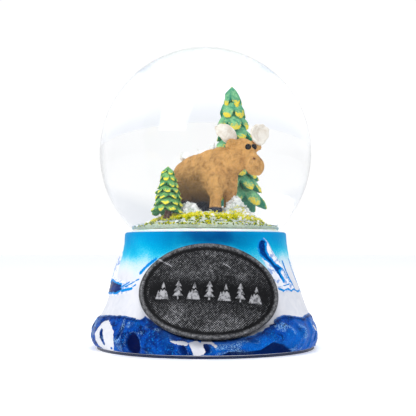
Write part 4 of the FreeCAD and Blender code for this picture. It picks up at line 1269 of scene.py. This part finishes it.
# %% Weld tubes into one skin
def welded(parts, voxel, smoothing):
    """Points and faces of closed parts after a voxel remesh and some smoothing."""
    points, faces = joined(parts)
    mesh = bpy.data.meshes.new("lump")
    mesh.from_pydata((points * MM).tolist(), [], faces)
    lump = bpy.data.objects.new("lump", mesh)
    bpy.context.scene.collection.objects.link(lump)
    remesh = lump.modifiers.new("weld", "REMESH")
    remesh.mode, remesh.voxel_size = "VOXEL", voxel * MM
    rub = lump.modifiers.new("rub", "SMOOTH")
    rub.factor, rub.iterations = 0.5, smoothing
    graph = bpy.context.evaluated_depsgraph_get()
    skin = bpy.data.meshes.new_from_object(lump.evaluated_get(graph))
    coordinates = np.empty(len(skin.vertices) * 3, np.float32)
    skin.vertices.foreach_get("co", coordinates)
    normals = np.empty_like(coordinates)
    skin.vertices.foreach_get("normal", normals)
    corners = np.empty(len(skin.loops), np.int32)
    skin.loops.foreach_get("vertex_index", corners)
    sizes = np.empty(len(skin.polygons), np.int32)
    skin.polygons.foreach_get("loop_total", sizes)
    faces = [face.tolist() for face in np.split(corners, np.cumsum(sizes)[:-1])]
    bpy.data.objects.remove(lump)
    return coordinates.reshape(-1, 3) / MM, normals.reshape(-1, 3), faces


# %% Sculpt the body
HEAD = np.array([9.55, 4.2, 15.5])
FACE_TURN = math.radians(-8.5)


def on_head(places):
    """Places as (ahead, to its left, up) from the middle of the skull, in the moose's frame."""
    ahead, left, up = np.asarray(places, float).T
    forward = ahead * math.cos(FACE_TURN) - left * math.sin(FACE_TURN)
    sideways = ahead * math.sin(FACE_TURN) + left * math.cos(FACE_TURN)
    return np.stack([forward, sideways, up], axis=-1) + HEAD


MUZZLE = np.array([4.0, 0, -3.75])


def leg(forward, left, root, girth):
    """A stout leg from the body to a hoof that spreads a little on the ground."""
    foot_out = 0.15 * np.sign(left)
    path = [[forward, left * 0.8, root], [forward, left, root - 4], [forward + 0.1, left, 4.6],
            [forward - 0.1, left + foot_out, 2.0], [forward, left + foot_out, 0.8],
            [forward + 0.2, left + foot_out, -0.5]]
    radii = np.array([[2.5, 2.7], [1.9, 2.2], [1.45, 1.6], [1.3, 1.4], [1.5, 1.65], [1.6, 1.75]])
    leftwards = np.diff(on_moose([[0, 0, 0], [0, 1, 0]]), axis=0)[0]
    return tube(on_moose(path), radii * girth, side=leftwards)


def moose_skin():
    """Torso, hump, neck, head, muzzle, ears, tail and legs, welded and dented."""
    torso = tube(on_moose([[-8.4, 0, 10.6], [-7.5, 0, 10.4], [-5.7, 0, 9.9], [-3.0, 0, 9.6],
                           [0.5, 0, 9.8], [4.0, 0, 10.5], [6.6, 0, 11.0], [8.2, 0.2, 11.4]]),
                 [[0.9, 1.2], [2.7, 3.3], [3.9, 4.7], [4.4, 5.4], [4.4, 5.7], [4.2, 5.8],
                  [3.4, 4.9], [1.5, 2.2]], rows=40, around=40)
    hump = tube(on_moose([[-1.5, 0, 13.9], [2.0, 0, 14.5], [5.0, 0.2, 14.9], [7.4, 0.8, 14.6]]),
                [[0.9, 0.7], [1.8, 1.4], [2.1, 1.7], [1.6, 1.4]])
    neck = tube(on_moose([[3.6, 0.2, 11.6], [6.2, 1.4, 12.6], [8.6, 2.9, 13.9], HEAD]),
                [[3.4, 4.2], [3.3, 3.6], [3.0, 3.0], [2.5, 2.3]], rows=30, around=32)
    throat = tube(on_moose([[6.0, 0.6, 10.4], [8.4, 2.2, 11.8], [10.8, 3.6, 13.0]]),
                  [[2.4, 2.8], [1.9, 2.1], [1.3, 1.4]])
    skull = tube(on_moose(on_head([[-2.8, 0, 1.0], [-1.8, 0, 1.1], [-0.2, 0, 0.9],
                                   [1.5, 0, -0.5], [3.0, 0, -2.7]])),
                 [[1.3, 1.3], [2.3, 2.1], [2.35, 2.3], [1.95, 2.1], [2.1, 2.1]], rows=30, around=30)
    snout = tube(on_moose(on_head(MUZZLE + [[-1.5, 0, 2.0], [-0.4, 0, 1.0], [0.4, 0, -0.1],
                                            [0.4, 0, -1.3], [0.0, 0, -2.3]])),
                 [[1.8, 1.8], [2.4, 2.2], [2.75, 2.35], [2.5, 2.1], [1.4, 1.2]], rows=30, around=30)
    ears = [tube(on_moose(on_head([[-0.6, 1.4 * s, 1.0], [-0.5, 2.7 * s, 1.3],
                                   [-0.4, 4.1 * s, 1.4], [-0.4, 5.4 * s, 1.0]])),
                 [[0.7, 1.1], [0.6, 1.6], [0.5, 1.5], [0.3, 0.5]]) for s in (-1, 1)]
    tail = tube(on_moose([[-7.7, 0, 12.4], [-8.4, 0, 11.7], [-8.6, 0, 10.8]]),
                [[0.7, 0.5], [0.7, 0.5], [0.4, 0.3]])
    legs = [leg(6.2, -2.3, 9.6, 1.05), leg(6.0, 2.6, 9.6, 1.0), leg(-4.9, -2.2, 7.6, 1.2),
            leg(-1.6, 2.2, 7.6, 1.25)]
    parts = [torso, hump, neck, throat, skull, snout, *ears, tail, *legs]
    points, normals, faces = welded(parts, 0.24, 7)
    dents = 0.2 * lumps(points, 3.2, 95) + 0.11 * lumps(points, 1.2, 96)
    scores = -0.1 * step(0.55, 0.85, np.abs(lumps(points * [1, 1, 0.35], 1.5, 97)))
    return points + normals * (dents + scores)[:, None], faces


def near_places(points, places, width):
    """1 at any of the places, falling off as a bell of a width."""
    reach = np.stack([np.linalg.norm(points - place, axis=-1) for place in places])
    return np.exp(-((reach.min(axis=0) / width) ** 2))


moose_points, moose_faces = moose_skin()
nostrils = on_moose(on_head(MUZZLE + [[2.0, -1.1, 1.5], [2.0, 1.1, 1.5]]))
dimple = near_places(moose_points, nostrils, 0.5)
inward = np.array([-math.cos(MOOSE_TURN), -math.sin(MOOSE_TURN), 0.15])
moose_points = moose_points + 0.35 * dimple[:, None] * inward
up_from_ground = moose_points[:, 2] - CROWN
local = (moose_points - MOOSE_MIDDLE)[:, :2]
forward = local[:, 0] * math.cos(MOOSE_TURN) + local[:, 1] * math.sin(MOOSE_TURN)
hooves_and_leg_shadow = step(1.5, 0.9, up_from_ground + 0.25 * lumps(moose_points, 1.0, 98))
# Painted shade: the body darkens towards the belly, much less at the front legs.
belly = step(15.5, 5.0, up_from_ground) * (1 - 0.85 * step(2.0, 4.6, forward))
# Painted shadow: the dark hoof paint reaches up the lower hind legs, into the shade under the
# belly.
hooves_and_leg_shadow = np.maximum(hooves_and_leg_shadow, step(4.4, 3.4, up_from_ground) * step(2.0, -0.5, forward))


# %% Clay
def clay_finish():
    """Tan clay with a darker wash in soft patches, painted shade low on the body, dark hooves with
    painted shadow up the hind legs, and dark nostrils.
    """
    material, tree, shader = new_finish("moose_clay", Roughness=0.68, Specular_IOR_Level=0.08)
    fine, dots = grain(tree, 0.5, 0.5)
    tan = washed(tree, paint(200, 149, 84), paint(122, 82, 40), 2.2, 0.75)
    tan = washed(tree, tan, paint(214, 166, 100), 0.8, 0.55)
    tan = blend(tree, sums(tree, "MULTIPLY", dots, 0.5), tan, paint(222, 188, 140))
    # Painted shade on the lower body.
    lower_body_shade = between(tree, roughened(tree, measure(tree, "belly"), fine, 0.9), 0.0, 1.0, 0.0, 0.76)
    tan = blend(tree, lower_body_shade, tan, paint(70, 52, 30))
    tan = blend(tree, measure(tree, "nostril"), tan, paint(96, 50, 34))
    # Dark hoof paint, and painted shadow on the lower hind legs.
    colour = blend(tree, measure(tree, "hoof"), tan, paint(44, 50, 68))
    tree.links.new(colour, shader.inputs["Base Color"])
    rough_skin(tree, shader, fine, 0.12)
    return material


new_piece("moose_sculpt", moose_points, moose_faces, clay_finish(), "moose_clay",
          ["moose_body"], hoof=hooves_and_leg_shadow, belly=belly, nostril=step(0.3, 0.8, dimple))

# %% [markdown]
# ## Antlers and eyes
# Each antler is a small white paddle, pinched thin between two fingers, with a wavy edge.
# It is made in polar form: the outline's reach changes with the angle, and the two faces
# bulge between their shared edges. The eyes are glossy black beads.


# %% Antlers
def antler(root, outward, upward, reach, height, seed):
    """A paddle: outline reach*(1 + scallops), faces a lens as thick as sqrt(1 - r^5)."""
    outward, upward = np.asarray(outward, float), np.asarray(upward, float)
    outward /= np.linalg.norm(outward)
    upward -= outward * (upward @ outward)
    upward /= np.linalg.norm(upward)
    facing = np.cross(outward, upward)
    angles = np.linspace(0, 2 * math.pi, 90, endpoint=False)
    scallops = 1 + 0.03 * np.cos(9 * angles + seed) * step(-0.7, 0.3, np.cos(angles))
    scallops += 0.035 * np.sin(3 * angles + 2 * seed)
    waist = 1 - 0.42 * swell(np.abs(angles - math.pi), 0, 0.7)
    away = np.concatenate([np.linspace(0.08, 0.94, 14), [1.0], np.linspace(0.94, 0.08, 14)])
    face = np.concatenate([np.ones(14), [0.0], -np.ones(14)])
    thick = 0.5 * (1 - away**5) ** 0.5 * face
    along = np.outer(away, np.cos(angles) * scallops) * reach / 2 + reach * 0.42
    over = np.outer(away, np.sin(angles) * scallops * waist) * height / 2
    cup = 0.09 * (over**2 + (along - reach / 2) ** 2)
    ribs = 0.07 * np.cos(np.outer(away, 7 * np.sin(angles)) + seed)
    bulge = thick[:, None] + ribs * face[:, None] + cup
    rings = (root + along[..., None] * outward + over[..., None] * upward
             + bulge[..., None] * facing)
    ends = [rings[k].mean(axis=0) for k in (-1, 0)]
    return ring_mesh(rings[::-1], start=ends[0], end=ends[1])


ANTLER_WHITE = simple_finish("antler_white", paint(236, 230, 218), paint(206, 192, 172), 1.6, 0.6,
                             depth=0.12, specks=paint(250, 248, 242))
ANTLER_REACH = 7.0
for name, s, lift, width, rise, aside in (("right", -1, 0.74, 4.6, 2.5, 1.5),
                                          ("left", 1, 0.6, 5.0, 2.7, 2.3)):
    root, out, over = on_moose(on_head([[-0.8, aside * s, rise],
                                        [-1.1, (aside + 1) * s, rise + lift],
                                        [-1.0, (aside - 0.4 * lift) * s, rise + 1.0]]))
    new_piece("antler_palm_" + name,
              *antler(root, out - root, over - root, ANTLER_REACH, width, 2.0 * lift),
              ANTLER_WHITE, "antler_white", ["moose_antler_" + name])

# %% Eyes
EYE_RADIUS, EYE_SINK = 0.78, 0.25
EYE_BLACK = simple_finish("eye_black", paint(10, 10, 12), paint(24, 24, 28), 0.8, 0.12,
                          depth=0.01, Specular_IOR_Level=0.1)


def bead(centre, radius):
    """A ball of rings: radius*cos up the side, radius*sin for the height."""
    bend = np.linspace(-math.pi / 2, math.pi / 2, 20)[1:-1]
    turn = np.linspace(0, 2 * math.pi, 32, endpoint=False)
    rings = np.stack([np.outer(np.cos(bend), np.cos(turn)), np.outer(np.cos(bend), np.sin(turn)),
                      np.outer(np.sin(bend), np.ones(32))], axis=-1) * radius
    return ring_mesh(rings + centre, start=centre - [0, 0, radius], end=centre + [0, 0, radius])


face_origin = on_moose(on_head(np.zeros((1, 3))))
face_axes = on_moose(on_head(np.eye(3))) - face_origin
on_face = (moose_points - face_origin) @ face_axes.T


def eye_place(left, up):
    """Where the skin stands furthest forward near a place on the face, sunk a little."""
    near = np.hypot(on_face[:, 1] - left, on_face[:, 2] - up) < 0.35
    forward = on_face[near, 0].max() - EYE_SINK
    return on_moose(on_head(np.array([[forward, left, up]])))[0]


eye_places = [eye_place(-1.0, 0.9), eye_place(0.75, 0.95)]
print("eyes at", np.round(eye_places, 1).tolist())
new_piece("moose_eye_beads", *joined([bead(place, EYE_RADIUS) for place in eye_places]),
          EYE_BLACK, "eye_black", ["moose_eyes"])

# %% [markdown]
# ## Loose snow and glitter
# The flakes are chips of white plastic that drift when the globe is shaken. They lie in
# heaps at the moose's feet, on its back and on the snow bed. Each is a flat shard of twelve
# faces, stretched and turned its own way.


# %% Flakes
BED_EDGE, SCATTERED, ON_BACK = 22.4, 170, 11
# Middle (x, y), spread and number of the chips in each heap.
CHIP_HEAPS = [(-4.2, -7.2, 1.2, 130), (7.2, -8.2, 1.2, 110), (-8, -4, 2.2, 30),
              (9.5, -6, 2.0, 45), (0.5, 4.5, 4.5, 60)]


def flakes():
    """Chips in three crops: heaps by the feet, a thin scatter all over, and a few on the back."""
    draw = np.random.default_rng(101)
    crops = [draw.normal(0, spread, (count, 2)) + [x, y] for x, y, spread, count in CHIP_HEAPS]
    away = draw.uniform(10, BED_EDGE, SCATTERED)
    bearing = draw.uniform(0, 2 * math.pi, SCATTERED)
    crops.append(np.stack([away * np.sin(bearing), -away * np.cos(bearing)], axis=-1))
    flat = np.vstack(crops)
    flat *= np.minimum(1, BED_EDGE / np.linalg.norm(flat, axis=1))[:, None]
    lift = draw.uniform(0.05, 0.6, len(flat))
    lying = np.column_stack([flat, ground_height(*flat.T) + lift])
    forward, left = draw.uniform(-6.4, 4.4, ON_BACK), draw.normal(-0.3, 0.7, ON_BACK)
    spine = np.interp(forward, [-7.5, -5.7, -3, 0.5, 4], [13.7, 14.5, 14.9, 15.4, 16.2])
    back = on_moose(np.column_stack([forward, left, spine - left**2 / 8.8 + 0.4]))
    places = np.vstack([lying, back])
    sizes = np.column_stack([draw.uniform(0.35, 0.85, (len(places), 2)),
                             draw.uniform(0.1, 0.2, len(places))])
    sizes[-ON_BACK:] *= 1.7
    shape, faces = shard(6, 1.0)
    return copies(shape, faces, places, sizes, turns(len(places), draw))


FLAKE = simple_finish("flake_plastic", paint(250, 250, 248), paint(222, 228, 226), 1.5, 0.35,
                      depth=0.04)
new_piece("snow_chips", *flakes(), FLAKE, "snow_flake", ["snow_flakes"], smooth=False)


# %% Glitter
SPECK_COUNT, SPECK_RADIUS = 260, 0.17


def specks():
    """Tiny plates scattered on the snow bed and through the flocking."""
    draw = np.random.default_rng(111)
    away = draw.uniform(13, 22.9, SPECK_COUNT)
    bearing = draw.uniform(0, 2 * math.pi, SPECK_COUNT)
    x, y = away * np.sin(bearing), -away * np.cos(bearing)
    places = np.column_stack([x, y, ground_height(x, y) + 0.18])
    shape, faces = shard(6, 1.0)
    sizes = np.tile([SPECK_RADIUS, SPECK_RADIUS, 0.04], (SPECK_COUNT, 1))
    points, faces = copies(shape, faces, places, sizes, turns(SPECK_COUNT, draw))
    return points, faces, np.repeat(draw.random(SPECK_COUNT), len(shape))


material, tree, shader = new_finish("glitter_foil", Roughness=0.25, Metallic=0.5)
tone = ramp(tree, measure(tree, "tone"), [
    (0.0, paint(150, 170, 60)), (0.3, paint(200, 190, 90)), (1.0, paint(236, 236, 220))])
tree.links.new(tone, shader.inputs["Base Color"])
rough_skin(tree, shader, grain(tree, 0.2)[0], 0.02)
speck_points, speck_faces, speck_tone = specks()
new_piece("glitter_specks", speck_points, speck_faces, material, "glitter", ["glitter_flecks"],
          smooth=False, tone=speck_tone)

# %% [markdown]
# ## Pieces kept from the model
# The stopper, sealant, glue, cover, tape and felt have the right shape already, and
# mostly can't be seen. They keep their meshes and get their own finishes.

# %% Finishes for the kept pieces
KEPT = {
    "rubber_stopper": simple_finish("stopper_rubber", paint(64, 66, 68), paint(44, 45, 47), 3,
                                    0.6),
    "neck_sealant": simple_finish("neck_sealant", paint(206, 210, 206), paint(180, 186, 182), 2,
                                  0.3, Subsurface_Weight=0.3, Subsurface_Scale=0.001),
    "scene_adhesive": simple_finish("scene_glue", paint(222, 216, 190), paint(196, 186, 150), 2,
                                    0.35),
    "base_cover": simple_finish("cover_board", paint(186, 164, 132), paint(150, 126, 96), 6, 0.8),
    "plaque_adhesive": simple_finish("plaque_tape", paint(232, 232, 228), paint(206, 206, 202), 3,
                                     0.7),
    "felt_pad": simple_finish("base_felt", paint(30, 44, 78), paint(18, 28, 54), 1.2, 0.95,
                              depth=0.2, specks=paint(60, 78, 120), Sheen_Weight=0.4),
}
for node, material in KEPT.items():
    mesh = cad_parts[node].data
    mesh.materials.clear()
    mesh.materials.append(material)
print("kept nodes:", sorted(KEPT))

# %% [markdown]
# ## Floor, light and camera
# The light is a bright, even tent: white all round, greyer overhead and at its two sides so
# that the glass has an edge, with a large soft lamp to the front left and one above. The camera
# looks slightly up from the height of the plaque's top, as a small thing is shown on a table.

# %% Floor
FLOOR_REACH = 3.0
floor_mesh = bpy.data.meshes.new("floor")
corners = np.array([(-1, -1, 0), (1, -1, 0), (1, 1, 0), (-1, 1, 0)]) * FLOOR_REACH
floor_mesh.from_pydata(corners.tolist(), [], [(0, 1, 2, 3)])
floor = bpy.data.objects.new("floor", floor_mesh)
floor.data.materials.append(simple_finish("white_paper", (1.0, 1.0, 1.0, 1),
                                          (0.99, 0.99, 0.995, 1), 300, 0.8, depth=0.0,
                                          Emission_Color=(1, 1, 1, 1), Emission_Strength=0.2))
bpy.context.scene.collection.objects.link(floor)

# %% Sky and lamps
world = bpy.data.worlds.new("light_tent")
world.use_nodes = True
bpy.context.scene.world = world
sky_tree = world.node_tree
direction = add(sky_tree, "TexCoord").outputs["Generated"]
split = add(sky_tree, "SeparateXYZ", {0: direction})
climb, sideways = split.outputs["Z"], split.outputs["X"]
tent = ramp(sky_tree, between(sky_tree, climb, -0.2, 1.0), [
    (0.0, (1, 1, 1, 1)), (0.34, (1, 1, 1, 1)), (0.46, (0.82, 0.84, 0.875, 1)),
    (1.0, (0.70, 0.725, 0.78, 1))])
sides = between(sky_tree, sums(sky_tree, "ABSOLUTE", sideways, 0.0), 0.7, 0.98, 0.0, 0.62)
tent = blend(sky_tree, sides, tent, (0.34, 0.37, 0.42, 1))
backing = sky_tree.nodes["Background"]
sky_tree.links.new(tent, backing.inputs["Color"])
backing.inputs["Strength"].default_value = 1.03


def soft_lamp(name, place, size, power):
    """A square lamp aimed at the middle of the ball."""
    lamp = bpy.data.lights.new(name, "AREA")
    lamp.shape, lamp.size, lamp.energy = "SQUARE", size, power
    holder = bpy.data.objects.new(name, lamp)
    holder.location = place
    aim = np.array([0, 0, 0.045]) - np.array(place)
    turn = math.atan2(aim[1], aim[0]) - math.pi / 2
    tilt = math.atan2(aim[2], math.hypot(aim[0], aim[1])) + math.pi / 2
    holder.rotation_euler = (tilt, 0, turn)
    bpy.context.scene.collection.objects.link(holder)


soft_lamp("key_panel", (-0.35, -0.45, 0.42), 0.35, 1.6)
soft_lamp("top_panel", (0.1, 0.12, 0.62), 0.4, 1.3)

# %% Camera
CAMERA_DISTANCE, CAMERA_HEIGHT = 0.3, 0.0308
AZIMUTH, PITCH = math.radians(-2), 0.039
camera_data = bpy.data.cameras.new("camera")
camera_data.lens, camera_data.sensor_width = 84.4, 36.0
camera_data.shift_x = 0.006
camera = bpy.data.objects.new("camera", camera_data)
camera.location = (CAMERA_DISTANCE * math.sin(AZIMUTH), -CAMERA_DISTANCE * math.cos(AZIMUTH),
                   CAMERA_HEIGHT)
camera.rotation_euler = (math.pi / 2 + PITCH, 0, AZIMUTH)
camera_data.clip_start = 0.01
bpy.context.scene.collection.objects.link(camera)
bpy.context.scene.camera = camera
bpy.context.scene.view_settings.view_transform = "Standard"
